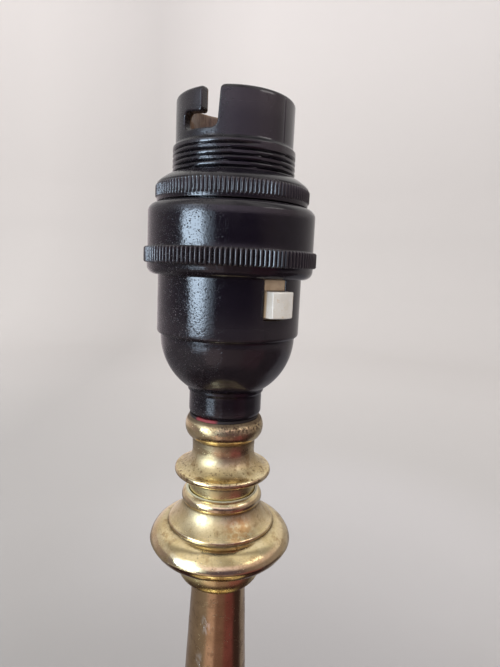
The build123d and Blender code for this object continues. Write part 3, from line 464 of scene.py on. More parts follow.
def bakelite():
    """Old black phenolic moulding: glossy, purple-black, pitted on one side and brown in its rubbed bore,
    with light dust specks and painted glints on the side towards the window light, and lighter edges and
    knurl ridges that are rubbed wear with painted highlight.
    """
    material, shader, at = new_material("bakelite")
    body = blend(noise(at, 0.16), (0.0020, 0.0015, 0.0040), (0.0054, 0.0038, 0.0080))
    worn = ease(noise(at, 0.25), 0.28, 0.52, 0.35, 1.0)
    worn = times(worn, facing(at, PITTED_AZIMUTH, 0.76, 0.96))
    pits = either(dots(at, 1.7, 0.27, 0.62), dots(at, 3.3, 0.34, 0.60))
    pits = times(pits, worn)
    # Light grey specks on the side towards the window light: dust, and painted glints of that light
    dust_and_glint_specks = times(dots(at, 2.9, 0.30, 0.66), facing(at, DUST_AND_GLINT_AZIMUTH, 0.70, 0.95))
    dust_and_glint_specks = times(dust_and_glint_specks, ease(axis(at, "Z"), COUPLING_Z, SHADE_RING_Z, 1.0, 0.0))
    dust_and_glint_specks = times(dust_and_glint_specks, ease(noise(at, 0.4), 0.40, 0.54, 0.15, 1.0))
    dust_and_glints = either(ease(noise(at, 3.6, 2.0), 0.66, 0.74, 0.0, 0.03), dust_and_glint_specks)
    scratch = ease(noise(stretched(at, 1.1, 1.1, 6.0), 1.3, 2.0), 0.72, 0.77, 0.0, 0.16)
    rubbed = ease(noise(stretched(at, 1, 1, 0.35), 0.9, 4.0), 0.25, 0.75)
    rubbed = blend(rubbed, (0.085, 0.050, 0.030), (0.24, 0.155, 0.095))
    body = coated(
        body,
        # Light grey: dust and scratches, with painted glints in the specks
        (either(dust_and_glints, scratch), 1.0, (0.24, 0.22, 0.23)),
        # Lighter edges and knurl ridges: rubbed wear with painted highlight
        (attribute(shader, "edge"), 0.22, (0.070, 0.058, 0.062)),
        (ease(attribute(shader, "bore"), 0.80, 1.0), 0.9, rubbed),
        (pits, 1.0, (0.004, 0.003, 0.004)))
    gloss = roughened(ease(noise(at, 0.5), 0.3, 0.7, 0.10, 0.17), (pits, 0.45), (dust_and_glints, 0.35))
    skin = bump(noise(at, 1.3), 0.06, 0.12)
    skin = bump(noise(around_axis(at, 3.0, 7.0), 1.0, 2.0), 0.10, 0.03, skin)
    skin = bump(times(noise(at, 2.2, 2.0), worn), 0.35, 0.10, skin)
    skin = bump(pits, 0.9, -0.14, skin)
    dress(shader, Base_Color=body, Roughness=gloss, Normal=skin, IOR=1.54)
    return material


def brass(name, bright, deep, tarnish, polish, stain):
    """Old polished brass with spin marks, pits, tarnish, grime in its grooves, grime and painted shadow just
    under the lampholder, and dried polish at a rim.
    """
    material, shader, at = new_material(name)
    height = axis(at, "Z")
    cloud = noise(at, 0.20, 4.0)
    patch = times(ease(noise(at, 0.30, 5.0, 0.64), 0.52, 0.68), stain)
    mottle = ease(noise(at, 2.1, 4.0, 0.66), 0.48, 0.70)
    pit = times(dots(at, 2.3, 0.27, 0.62), ease(noise(at, 0.35, 2.0), 0.46, 0.60))
    spots = times(ease(noise(at, 1.25, 4.0, 0.6), 0.55, 0.63), belt(height, *FLANGE_BELT))
    orange = times(near(at, STAIN_SPOT, STAIN_SIZE), ease(noise(at, 0.9, 4.0), 0.40, 0.58))
    smear = ease(noise(stretched(at, 1.6, 1.6, 0.5), 1.1, 3.0), 0.44, 0.58)
    smear = times(either(*[near(at, spot, SMEAR_SIZE, SMEAR_SQUEEZE) for spot in SMEARS]), smear)
    golden = either(*[belt(height, *ends) for ends in GOLDEN_BELTS])
    dull = either(*[belt(height, *ends) for ends in DULL_BELTS])
    crust = noise(at, 1.6, 5.0, 0.65)
    grime = times(attribute(shader, "grime"), ease(crust, 0.24, 0.50, 0.2, 0.9))
    # Soil: grime on the side facing SOIL_AZIMUTH, and painted shadow all round just under the lampholder
    soil_and_shadow_mark = attribute(shader, "soil_and_shadow")
    soil_and_shadow = times(ease(soil_and_shadow_mark, 0.05, 0.80), facing(at, SOIL_AZIMUTH, 0.30, 0.85))
    soil_and_shadow = times(soil_and_shadow, ease(crust, 0.36, 0.62))
    # Painted shadow: dark all round at the top of the bead, right under the lampholder
    soil_and_shadow = either(soil_and_shadow, ease(soil_and_shadow_mark, 0.72, 0.90, 0.0, 0.85))
    residue = attribute(shader, "residue")
    metal = coated(
        blend(ease(cloud, 0.30, 0.70), bright, deep),
        (patch, 1.0, tarnish),
        (mottle, 0.45 * stain, (0.38, 0.27, 0.14)),
        (pit, 0.85, (0.040, 0.030, 0.022)),
        (spots, 0.7, (0.21, 0.12, 0.055)),
        (orange, 0.7, (0.62, 0.33, 0.12)),
        (smear, 0.75, (0.86, 0.80, 0.68)),
        (golden, 0.6, (0.92, 0.76, 0.34)),
        (grime, 1.0, (0.13, 0.085, 0.045)),
        (soil_and_shadow, 1.0, (0.10, 0.066, 0.046)),
        (residue, 1.0, (0.68, 0.70, 0.58)))
    gloss = roughened(
        ease(cloud, 0.3, 0.7, polish, polish + 0.09), (patch, 0.14), (mottle, 0.07 * stain),
        (either(grime, soil_and_shadow), 0.40), (pit, 0.30), (golden, 0.06), (dull, 0.17))
    skin = bump(noise(around_axis(at, 2.2, 9.0), 1.0, 3.0), 0.08, 0.03)
    skin = bump(noise(at, 0.45, 2.0), 0.12, 0.15, skin)
    skin = bump(mottle, 0.10, -0.03, skin)
    skin = bump(pit, 0.6, -0.07, skin)
    dress(shader, Base_Color=metal, Roughness=gloss, Normal=skin, Metallic=ease(residue, 0.0, 1.0, 1.0, 0.0))
    return material


def moulding(name, light, dark, spot, gloss, stained=0.0):
    """Moulded resin, yellowed in patches and, on the press bar, beside the body and along one side."""
    material, shader, at = new_material(name)
    body = blend(ease(noise(at, 0.30), 0.30, 0.70), light, dark)
    fleck = ease(noise(at, 1.7, 3.0), 0.60, 0.74)
    near_end, far_end = BAR_STAIN
    along = vectors("DOT_PRODUCT", at, polar(SWITCH_AZIMUTH, 1, 0))
    across = vectors("DOT_PRODUCT", at, polar(SWITCH_AZIMUTH + 90, 1, 0))
    inner = ease(along, BODY_R + near_end, BODY_R + far_end, stained, 0.0)
    right = ease(across, BAR_W / 2 - far_end, BAR_W / 2 - near_end, 0.0, stained)
    right = times(right, ease(noise(at, 0.5, 3.0), 0.44, 0.60))
    body = coated(body, (fleck, 0.55, spot), (either(inner, right), 1.0, (0.40, 0.25, 0.11)))
    rough = ease(noise(at, 0.8), 0.3, 0.7, gloss, gloss + 0.12)
    dress(shader, Base_Color=body, Roughness=rough, Normal=bump(noise(at, 1.6), 0.08, 0.08))
    return material


def fibre():
    """Red vulcanised fibre, felted and dull, darkened all round by grime and painted shade except on a red
    stretch of its edge.
    """
    material, shader, at = new_material("fibre")
    strand = noise(stretched(at, 2.0, 2.0, 7.0), 1.0, 4.0)
    body = blend(strand, (0.22, 0.020, 0.026), (0.40, 0.050, 0.056))
    # Red only on the stretch facing FIBRE_AZIMUTH; dark elsewhere with grime and painted shade
    unmarked = facing(at, FIBRE_AZIMUTH, FIBRE_DARK_COSINE, FIBRE_RED_COSINE)
    unmarked = times(unmarked, ease(noise(at, 1.1, 4.0), 0.25, 0.45))
    body = blend(unmarked, (0.020, 0.014, 0.013), body)
    dress(shader, Base_Color=body, Roughness=0.62, Normal=bump(strand, 0.3, 0.05))
    return material


def steel(name, light, dark, gloss):
    """Plated or bare steel with rub marks."""
    material, shader, at = new_material(name)
    metal = blend(ease(noise(at, 0.5, 4.0), 0.35, 0.65), light, dark)
    rough = ease(noise(at, 2.0), 0.3, 0.7, gloss, gloss + 0.15)
    skin = bump(noise(stretched(at, 1, 1, 6), 1.2), 0.12, 0.05)
    dress(shader, Base_Color=metal, Roughness=rough, Normal=skin, Metallic=1.0)
    return material


def rubber():
    """Dull dark bush."""
    material, shader, at = new_material("rubber")
    body = blend(noise(at, 0.8), (0.012, 0.010, 0.010), (0.030, 0.026, 0.024))
    dress(shader, Base_Color=body, Roughness=0.58, Normal=bump(noise(at, 3.0), 0.2, 0.05))
    return material


def baize():
    """Green felt with short crossing fibres."""
    material, shader, at = new_material("baize")
    nap = either(*[noise(stretched(at, x, y, 2.0), 1.0, 3.0) for x, y in ((0.5, 4.0), (4.0, 0.5))])
    body = blend(ease(nap, 0.4, 0.75), (0.010, 0.040, 0.022), (0.030, 0.090, 0.050))
    dress(shader, Base_Color=body, Roughness=0.92, Normal=bump(nap, 0.7, 0.25), Sheen_Weight=0.35)
    return material


# Darker copy of the brass for the column: tarnish, and painted shade for the darker room that it reflects
COLUMN_BRASS = brass("column_brass", (0.66, 0.48, 0.27), (0.52, 0.36, 0.19), (0.26, 0.155, 0.08), 0.15, 0.55)
FINISHES = {
    "bakelite": bakelite(),
    "insert": moulding("insert", (0.16, 0.095, 0.060), (0.10, 0.058, 0.038), (0.05, 0.03, 0.02), 0.42),
    "cream": moulding("cream", (0.66, 0.51, 0.35), (0.51, 0.37, 0.24), (0.26, 0.17, 0.10), 0.34),
    "ivory": moulding("ivory", (0.83, 0.81, 0.77), (0.76, 0.72, 0.64), (0.62, 0.42, 0.20), 0.16, 0.8),
    "fibre": fibre(),
    "brass": brass("brass", (0.87, 0.73, 0.45), (0.75, 0.59, 0.31), (0.44, 0.29, 0.13), 0.12, 0.7),
    "contact_brass": brass(
        "contact_brass", (0.80, 0.60, 0.28), (0.68, 0.48, 0.21), (0.36, 0.21, 0.09), 0.20, 0.5),
    "steel": steel("steel", (0.62, 0.61, 0.59), (0.42, 0.40, 0.38), 0.24),
    "iron": steel("iron", (0.10, 0.092, 0.088), (0.055, 0.045, 0.040), 0.55),
    "rubber": rubber(),
    "baize": baize()}
for name, slot in slots.items():
    nodes[name].data.materials.clear()
    nodes[name].data.materials.append(FINISHES[slot])
nodes["column"].data.materials[0] = COLUMN_BRASS


# Meshes for the parts that show, with soft corners and the small faults of old turned and moulded work

def arc_points(start, middle, end):
    """Points along the arc through three points, without its start."""
    (ax, ay), (bx, by), (cx, cy) = start, middle, end
    twice = 2 * (ax * (by - cy) + bx * (cy - ay) + cx * (ay - by))
    a, b, c = ax * ax + ay * ay, bx * bx + by * by, cx * cx + cy * cy
    ux = (a * (by - cy) + b * (cy - ay) + c * (ay - by)) / twice
    uy = (a * (cx - bx) + b * (ax - cx) + c * (bx - ax)) / twice
    radius = math.hypot(ax - ux, ay - uy)
    first = math.atan2(ay - uy, ax - ux)
    half = (math.atan2(by - uy, bx - ux) - first) % TURN
    sweep = (math.atan2(cy - uy, cx - ux) - first) % TURN
    if half > sweep:
        sweep -= TURN
    count = max(2, round(abs(sweep) * radius / SPACING))
    angles = [first + sweep * step / count for step in range(1, count + 1)]
    return [(ux + radius * math.cos(angle), uy + radius * math.sin(angle)) for angle in angles]


def line_points(start, end):
    """Points along a straight run, without its start."""
    count = max(1, round(math.dist(start, end) / SPACING))
    return [tuple(between(a, b, step / count) for a, b in zip(start, end)) for step in range(1, count + 1)]


def run(start, *steps):
    """Close points along an outline. A step is a (radius, height) point, or an arc's (middle, end)."""
    points = [start]
    for step in steps:
        if isinstance(step[0], tuple):
            points += arc_points(points[-1], *step)
        else:
            points += line_points(points[-1], step)
    return np.array(points)


def loop(start, *steps):
    """Close points along a closed outline."""
    return run(start, *steps, start)[:-1]


def blurred(points, width, closed=True):
    """Outline with its corners softened over a width."""
    reach = int(3 * width / SPACING) + 1
    kernel = np.exp(-0.5 * (np.arange(-reach, reach + 1) * SPACING / width) ** 2)
    kernel /= kernel.sum()
    if closed:
        padded = np.take(points, range(-reach, len(points) + reach), axis=0, mode="wrap")
    else:
        ahead = 2 * points[0] - points[reach:0:-1]
        after = 2 * points[-1] - points[-2:-reach - 2:-1]
        padded = np.concatenate([ahead, points, after])
    return np.column_stack([np.convolve(padded[:, way], kernel, "valid") for way in (0, 1)])


def outward(points):
    """Normals of an outline that runs up its outer side."""
    along = np.gradient(points, axis=0)
    normals = np.column_stack([along[:, 1], -along[:, 0]])
    return normals / np.maximum(np.linalg.norm(normals, axis=1), 1e-9)[:, None]


def hollowness(points, smooth, closed=True):
    """How deep each point lies in a hollow of the outline, in millimetres, and below zero on an edge."""
    return ((blurred(points, HOLLOW_WIDTH, closed) - smooth) * outward(smooth)).sum(axis=1)


def thinned(points, longest):
    """Rows of an outline that its curves need."""
    along = np.diff(points, axis=0)
    heading = np.unwrap(np.arctan2(along[:, 1], along[:, 0]))
    longest = np.broadcast_to(longest, len(points))
    kept = [0]
    for row in range(1, len(points) - 1):
        last = kept[-1]
        bend = abs(heading[row] - heading[last])
        if bend > ROW_BEND or math.dist(points[row], points[last]) > longest[row]:
            kept.append(row)
    return kept + [len(points) - 1]


def ripple(points, size, seed):
    """Smooth random waves of about a size, with a typical height of one."""
    draw = np.random.default_rng(seed)
    ways = draw.normal(size=(RIPPLE_WAVES, 3))
    ways *= (TURN / size * draw.uniform(0.6, 1.4, RIPPLE_WAVES) / np.linalg.norm(ways, axis=1))[:, None]
    phases = draw.uniform(0, TURN, RIPPLE_WAVES)
    return np.cos(points @ ways.T + phases).sum(axis=1) / math.sqrt(RIPPLE_WAVES / 2)


def new_object(name, data):
    """Object in the scene."""
    made = bpy.data.objects.new(name, data)
    bpy.context.scene.collection.objects.link(made)
    return made


def piece(node, points, faces, **marks):
    """Mesh that stands for a CAD node, with values kept at its points."""
    mesh = bpy.data.meshes.new(node + "_skin")
    mesh.from_pydata((points * MM).tolist(), [], faces)
    for key, values in marks.items():
        mesh.attributes.new(key, "FLOAT", "POINT").data.foreach_set("value", values.astype(np.float32))
    welded = bmesh.new()
    welded.from_mesh(mesh)
    bmesh.ops.remove_doubles(welded, verts=welded.verts, dist=WELD * MM)
    bmesh.ops.dissolve_degenerate(welded, edges=welded.edges, dist=WELD * MM)
    welded.to_mesh(mesh)
    welded.free()
    mesh.materials.append(nodes[node].data.materials[0])
    mesh.shade_smooth()
    mesh.set_sharp_from_angle(angle=SHARP)
    made = new_object(node + "_skin", mesh)
    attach(made, body_of[node])
    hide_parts(node)
    return made


def ring_faces(rows, columns, closed):
    """Faces of a grid that closes round the axis, and along its outline too if that is closed."""
    spans = rows if closed else rows - 1
    low = np.arange(spans)[:, None] * columns + np.arange(columns)[None, :]
    right = np.arange(spans)[:, None] * columns + (np.arange(columns)[None, :] + 1) % columns
    rise = columns * rows
    corners = [low, right, (right + columns) % rise, (low + columns) % rise]
    return np.stack(corners, axis=-1).reshape(-1, 4).tolist()


def spun(radius, height, angles):
    """Points at radii and heights round the axis, with angles counted to the right from the front."""
    return np.stack([radius * np.sin(angles), -radius * np.cos(angles), height], axis=-1).reshape(-1, 3)


def revolved(rows, columns, ribs=None):
    """Points of an outline spun round the axis, with the angles of their columns."""
    angles = np.arange(columns) * TURN / columns
    radius = np.repeat(rows[:, :1], columns, axis=1)
    height = np.repeat(rows[:, 1:], columns, axis=1)
    if ribs:
        radius = ribbed(radius, height, angles, *ribs)
    return spun(radius, height, np.broadcast_to(angles, radius.shape)), angles


def lathe(node, points, columns, soft, dents=0.0, seed=0, ribs=None, soil_and_shadow=None, residue=None):
    """Turned piece: a closed outline with soft corners and shallow dents, spun round the lamp's axis.

    Soil and residue each give a height and a reach below it: soil for the grime and painted shadow under the
    lampholder, residue for the dried polish."""
    smooth = blurred(points, soft)
    hollow = hollowness(points, smooth)
    kept = thinned(smooth, ROW_LONGEST)
    rows = smooth[kept]
    spots, angles = revolved(rows, columns, ribs)
    if dents:
        normals = np.repeat(outward(smooth)[kept], columns, axis=0)
        turn = np.tile(angles, len(rows))
        push = dents * (ripple(spots, DENT_SIZE, seed) + 0.4 * ripple(spots, DENT_SIZE / 3, seed + 1))
        spots += push[:, None] * spun(normals[:, 0], normals[:, 1], turn)
    unmarked = np.zeros(len(rows))
    marks = {
        "grime": np.clip(hollow[kept] / HOLLOW_DEEP, 0, 1),
        "soil_and_shadow": near_height(rows, *soil_and_shadow) if soil_and_shadow else unmarked,
        # Convex edges, marked lighter on the mouldings: wear with painted highlight
        "edge": np.clip(-hollow[kept] / EDGE_HIGH, 0, 1),
        "residue": near_height(rows, *residue) if residue else unmarked}
    marks = {key: np.repeat(values, columns) for key, values in marks.items()}
    if ribs:
        # Knurl ridges marked lighter: wear with painted highlight
        ridge_wear_and_highlight = KNURL_WEAR_AND_HIGHLIGHT * in_band(rows[:, 1:], *ribs[2:]) * (1 - valley_share(angles))
        marks["edge"] = np.maximum(marks["edge"], ridge_wear_and_highlight.ravel())
    return piece(node, spots, ring_faces(len(rows), columns, True), **marks)


def near_height(rows, height, reach):
    """One at a height, falling to nothing at a reach below it."""
    return np.clip(1 - (height - rows[:, 1]) / reach, 0, 1)


def valley_share(angles):
    """How far angles lie down the flanks of a ring's knurls, from 0 on a ridge to 1 in a valley."""
    share = ((angles - TURN / 4) * KNURL_COUNT / TURN) % 1.0
    return np.clip(1 - np.minimum(share, 1 - share) / KNURL_VALLEY, 0, 1)


def in_band(height, low, high):
    """Which heights lie in a knurled band."""
    return (height > low - SPACING) & (height < high + SPACING)


def ribbed(radius, height, angles, tip, core, low, high):
    """Radii with the valleys of a knurled band cut into them."""
    valley = np.maximum(tip - KNURL_DEPTH * valley_share(angles), core)
    return np.where(in_band(height, low, high), np.minimum(radius, valley), radius)


def rounded(*corners):
    """Closed outline through (across, height, radius) corners, with each corner rounded."""
    points = []
    for index, (x, y, radius) in enumerate(corners):
        here = np.array((x, y))
        before = np.array(corners[index - 1][:2]) - here
        after = np.array(corners[(index + 1) % len(corners)][:2]) - here
        before /= np.linalg.norm(before)
        after /= np.linalg.norm(after)
        half = math.acos(float(np.clip(before @ after, -1, 1))) / 2
        middle = (before + after) / np.linalg.norm(before + after)
        centre = here + middle * radius / math.sin(half)
        start = tuple(here + before * radius / math.tan(half))
        end = tuple(here + after * radius / math.tan(half))
        if radius:
            points += [start] + arc_points(start, tuple(centre - middle * radius), end)
        else:
            points.append((x, y))
    return np.array(points)


def outside(x, y, corners):
    """Distance of points from a closed outline, below zero inside it."""
    nearest = np.full(x.shape, np.inf)
    inside = np.zeros(x.shape, bool)
    for (ax, ay), (bx, by) in zip(corners, np.roll(corners, -1, axis=0)):
        dx, dy = bx - ax, by - ay
        share = np.clip(((x - ax) * dx + (y - ay) * dy) / max(dx * dx + dy * dy, 1e-12), 0, 1)
        nearest = np.minimum(nearest, np.hypot(x - ax - share * dx, y - ay - share * dy))
        if ay != by:
            inside ^= ((ay > y) != (by > y)) & (x < ax + (y - ay) * dx / dy)
    return np.where(inside, -nearest, nearest)


def divided(spots, faces, levels, at, keep_low):
    """Faces split where a value at their corners passes a level, with the low side kept or dropped."""
    spots, levels = list(spots), list(levels)
    made = {}
    kept = []

    def crossing(a, b):
        """Point where an edge passes the level."""
        key = (min(a, b), max(a, b))
        if key not in made:
            share = (at - levels[a]) / (levels[b] - levels[a])
            made[key] = len(spots)
            spots.append(spots[a] + (spots[b] - spots[a]) * share)
            levels.append(at)
        return made[key]

    for face in faces:
        high = [levels[corner] >= at for corner in face]
        if all(high) or (keep_low and not any(high)):
            kept.append(face)
            continue
        if not any(high):
            continue
        above, below = [], []
        for step, corner in enumerate(face):
            after = face[(step + 1) % len(face)]
            (above if high[step] else below).append(corner)
            if high[step] != high[(step + 1) % len(face)]:
                middle = crossing(corner, after)
                above.append(middle)
                below.append(middle)
        kept.append(above)
        if keep_low:
            kept.append(below)
    return np.array(spots), kept, np.array(levels)


def from_opening(turn):
    """Angle from the middle of the nearer of two opposite openings."""
    return (turn + TURN / 4) % (TURN / 2) - TURN / 4


def steered(turn, radius, nominal, window):
    """Angle at a radius whose place across an opening is that of an angle at the nominal radius."""
    side = from_opening(turn)
    reach = nominal * np.sin(np.clip(side, -window, window)) / radius
    bent = np.arcsin(np.clip(reach, -1, 1))
    share = np.clip((np.abs(side) - window) / (TURN / 4 - window), 0, 1)
    return turn - side + bent + np.sign(side) * (TURN / 4 - np.abs(bent)) * share * (np.abs(side) > window)


def walled(node, angles, outer, inner, nominal, window, azimuth, openings, round_off, shape=None):
    """Closed wall between two outlines with as many rows, cut by rounded openings on two opposite sides.

    Angles are nominal, from the azimuth, and start a quarter turn before it, away from the openings."""
    columns, rows = len(angles), len(outer)
    window, azimuth = math.radians(window), math.radians(azimuth)
    grid = np.stack(np.meshgrid(angles, np.arange(rows, dtype=float)), axis=-1).reshape(-1, 2)

    def by_row(spots, values):
        """Values of the rows at points between them."""
        return np.interp(spots[:, 1], np.arange(rows), values)

    def clear_of(spots):
        """Distance of points from the openings, below zero inside them."""
        side = from_opening(spots[:, 0])
        across = np.where(np.abs(side) < window, nominal * np.sin(side), 4 * nominal)
        return outside(across, by_row(spots, outer[:, 1]), openings)

    spots, faces, clear = divided(grid, ring_faces(rows, columns, False), clear_of(grid), 0.0, False)
    for share in ROUND_STEPS:
        spots, faces, clear = divided(spots, faces, clear, round_off * share, True)
    depth = round_off - np.sqrt(np.maximum(round_off ** 2 - np.maximum(round_off - clear, 0) ** 2, 0))
    count = len(spots)
    sides = []
    for outline, way in ((outer, -1), (inner, 1)):
        radius, height = by_row(spots, outline[:, 0]), by_row(spots, outline[:, 1])
        aim = steered(spots[:, 0], radius, nominal, window) + azimuth
        if shape and way < 0:
            radius = shape(radius, height, aim)
        sides.append(spun(radius + way * depth, height, aim))
    walls = [list(face) for face in faces] + [[corner + count for corner in reversed(face)] for face in faces]
    uses = {}
    for face in faces:
        for corner, after in zip(face, face[1:] + face[:1]):
            uses[(corner, after)] = True
    for corner, after in uses:
        if (after, corner) not in uses:
            walls.append([after, corner, corner + count, after + count])
    # Edges of the openings, marked lighter: wear with painted highlight
    opening_wear_and_highlight = np.clip(1 - clear / (2 * round_off), 0, 1)
    hollow = by_row(spots, hollowness(outer, outer, False))
    edge = np.concatenate([np.maximum(opening_wear_and_highlight, np.clip(-hollow / EDGE_HIGH, 0, 1)), opening_wear_and_highlight])
    bores = np.repeat((0.0, 1.0), count)
    grime = np.concatenate([np.clip(hollow / HOLLOW_DEEP, 0, 1), np.zeros(count)])
    return piece(node, np.concatenate(sides), walls, edge=edge, bore=bores, grime=grime)


def beside(radius, height, offset):
    """Point at an (outward, upward) offset from a ring."""
    return (radius + offset[0], height + offset[1])


def round_foot(radius, height, size):
    """Steps of an outline that rounds a corner at its foot."""
    soft = size * ARC_SHARE
    return (radius - size, height), ((radius - soft, height + soft), (radius, height + size))


def round_head(radius, height, size):
    """Steps of an outline that rounds a corner at its head."""
    soft = size * ARC_SHARE
    return (radius, height - size), ((radius - soft, height - soft), (radius - size, height))


def knurl_band(below, tip, above, low, high):
    """Steps of an outline from the radius below a knurled band to the one above it."""
    shoulder = tip - KNURL_CHAMFER
    return ((below, low), (shoulder, low), (tip, low + KNURL_CHAMFER),
            (tip, high - KNURL_CHAMFER), (shoulder, high), (above, high))


# Felt under the base

def felt_pad():
    """Disc of felt with a soft, slightly ragged rim. It lies flat on the table and under the base."""
    radius = 1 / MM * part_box("baize_pad")[1].x
    edge = FELT_ROUND
    rows = run(
        (0.0, 0.0), *round_foot(radius, 0.0, edge), *round_head(radius, PAD_TOP, edge), (0.0, PAD_TOP))
    rows = rows[thinned(rows, FELT_ROW)]
    spots, _ = revolved(rows, FELT_COLUMNS)
    rim = np.clip((np.hypot(spots[:, 0], spots[:, 1]) - radius + 3 * edge) / (3 * edge), 0, 1)
    fray = np.abs(ripple(spots, FELT_FIBRE, 21)) + 0.5 * np.abs(ripple(spots, 3 * FELT_FIBRE, 22))
    spots[:, :2] *= (1 - rim * FELT_FRAY * fray / radius)[:, None]
    spots[:, 2] += np.where(spots[:, 2] < edge, 1 - rim, 0) * FELT_NAP * np.abs(ripple(spots, FELT_FIBRE, 23))
    pad = piece("baize_pad", spots, ring_faces(len(rows), FELT_COLUMNS, False))


# Brass

def base_collar_outline():
    """Lower knop between the base and the column."""
    inner = COLUMN_FOOT_R - COLUMN_WALL - (COLUMN_FOOT_R - COLUMN_TOP_R) * SPIGOT_H / (KNOP_Z - COLUMN_Z)
    spigot = inner - SPIGOT_CLEAR
    mid, cove, lip = (between(COLLAR_Z, COLUMN_Z, share) for share in COLLAR_SHARES)
    recess = BASE_SPIGOT_R + SPIGOT_CLEAR
    return loop(
        (recess, COLLAR_Z), (BASE_TOP_R, COLLAR_Z),
        ((COLLAR_BEAD_R, mid), (BASE_TOP_R - COLLAR_COVE_IN, cove)),
        ((COLLAR_NECK_R + COLLAR_COVE_OUT, between(cove, lip, COLLAR_COVE_SHARE)), (COLLAR_NECK_R, lip)),
        ((COLLAR_LIP_R, (lip + COLUMN_Z) / 2), (COLLAR_NECK_R, COLUMN_Z)),
        (spigot, COLUMN_Z), (spigot, COLUMN_Z + SPIGOT_H), (TUBE_HOLE_R, COLUMN_Z + SPIGOT_H),
        (TUBE_HOLE_R, COLLAR_Z + SPIGOT_H), (recess, COLLAR_Z + SPIGOT_H))


def column_outline():
    """Tapered shaft with the spigot that centres the knop on it."""
    spigot = COLUMN_SPIGOT_R
    top = KNOP_Z + SPIGOT_H
    land = KNOP_Z - COLUMN_TOP_LAND
    taper = (COLUMN_FOOT_R - COLUMN_TOP_R) / (KNOP_Z - COLUMN_Z)
    inner = COLUMN_FOOT_R - COLUMN_WALL
    return loop(
        (inner, COLUMN_Z), (COLUMN_FOOT_R, COLUMN_Z), (COLUMN_TOP_R, KNOP_Z), (spigot, KNOP_Z), (spigot, top),
        (TUBE_HOLE_R, top), (TUBE_HOLE_R, land), (inner - taper * (land - COLUMN_Z), land))


def upper_knop_outline():
    """Cup, bulge, stepped dome and collar."""
    foot = KNOP_Z
    cup, bulge, crease, waist = (foot + rise for rise in KNOP_RISES)
    recess = NOZZLE_NECK_R + RECESS_CLEAR
    socket = COLUMN_SPIGOT_R + SPIGOT_CLEAR
    return loop(
        (socket, foot), (KNOP_FOOT_R, foot),
        (beside(KNOP_CUP_R, foot, KNOP_CUP_ARC), beside(KNOP_CUP_R, cup, KNOP_CUP_TOP)),
        beside(KNOP_CUP_R, cup, KNOP_CUP_LIP),
        ((KNOP_BULGE_R - KNOP_UNDER_IN, between(bulge, cup, KNOP_UNDER_SHARE)), (KNOP_BULGE_R, bulge)),
        ((KNOP_BULGE_R - KNOP_OVER_IN, between(bulge, crease, KNOP_OVER_SHARE)), (KNOP_CREASE_R, crease)),
        beside(KNOP_CREASE_R, crease, KNOP_STEP),
        (beside(KNOP_CREASE_R, crease, KNOP_STEP_ARC), beside(KNOP_CREASE_R, crease, KNOP_STEP_TOP)),
        (beside(KNOP_WAIST_R, waist, KNOP_DOME_ARC), (KNOP_WAIST_R, waist)),
        ((KNOP_COLLAR_R, between(waist, RIM_Z, KNOP_COLLAR_SHARE)), (KNOP_RIM_R, RIM_Z)),
        (recess, RIM_Z), (recess, RIM_Z - KNOP_RECESS), (TUBE_HOLE_R, RIM_Z - KNOP_RECESS),
        (TUBE_HOLE_R, foot + SPIGOT_H), (socket, foot + SPIGOT_H))


def top_nozzle_outline():
    """Neck, flange, waist and bead under the lampholder."""
    low = RIM_Z - KNOP_RECESS
    neck, flange, flange_top, waist, bead_base, bead = (RIM_Z + rise for rise in NOZZLE_RISES)
    edge = NOZZLE_FLANGE_R - NOZZLE_EDGE_IN
    return loop(
        (TUBE_HOLE_R, low), (NOZZLE_NECK_R, low), (NOZZLE_NECK_R, neck),
        (beside(NOZZLE_FLANGE_R, neck, NOZZLE_COVE_ARC), (edge, flange - NOZZLE_EDGE_DROP)),
        ((NOZZLE_FLANGE_R, flange), (edge, flange_top)),
        (beside(NOZZLE_WAIST_R, flange_top, NOZZLE_WAIST_ARC), (NOZZLE_WAIST_R, waist)),
        (NOZZLE_WAIST_R + NOZZLE_WAIST_FLARE, bead_base), beside(NOZZLE_BEAD_R, bead_base, NOZZLE_BEAD_FOOT),
        ((NOZZLE_BEAD_R, bead), (NOZZLE_TOP_R, NOZZLE_TOP_Z)), (TUBE_HOLE_R, NOZZLE_TOP_Z))


# Moulded lampholder

def coupling_ring_outline():
    """Large ring with its knurled band near its foot."""
    top = COUPLING_TOP_Z
    hole = SCREW_CREST_R + RING_CLEAR
    bore = BODY_R + RING_CLEAR
    return loop(
        (bore, COUPLING_Z), *round_foot(COUPLING_LIP_R, COUPLING_Z, COUPLING_FOOT_ROUND),
        *knurl_band(COUPLING_LIP_R, COUPLING_KNURL_R, COUPLING_R, *COUPLING_BAND),
        *round_head(COUPLING_R, top, COUPLING_TOP_ROUND),
        (hole, top), (hole, top - COUPLING_PLATE), (bore, top - COUPLING_PLATE))


def shade_ring_outline():
    """Smaller ring on the skirt's thread, with a sloping top."""
    top = SHADE_RING_TOP_Z - SHADE_TOP_DROP
    band_top = SHADE_BAND[1]
    lip = SHADE_BORE_R + SHADE_TOP_WALL
    across, up = SHADE_SLOPE_SHARES
    slope = (between(lip, SHADE_RING_R, across), between(band_top, top, up))
    return loop(
        (SHADE_BORE_R, SHADE_RING_Z), (SHADE_RING_R, SHADE_RING_Z),
        *knurl_band(SHADE_RING_R, SHADE_KNURL_R, SHADE_RING_R, *SHADE_BAND),
        (SHADE_RING_R, band_top + SHADE_EDGE_H), (slope, (lip, top)), (SHADE_BORE_R, top))


def turns(window, fine, extra=()):
    """Nominal angles of a wall's columns, from degrees, closer together beside its two openings."""
    close = np.arange(-window, window + fine / 2, fine)
    far = np.arange(window + WALL_TURN, 180 - window, WALL_TURN)
    every = np.concatenate([close, far, close + 180, far + 180, extra])
    every = np.where(every >= 270, every - 360, every)
    return np.radians(np.unique(np.round(every, 3)))


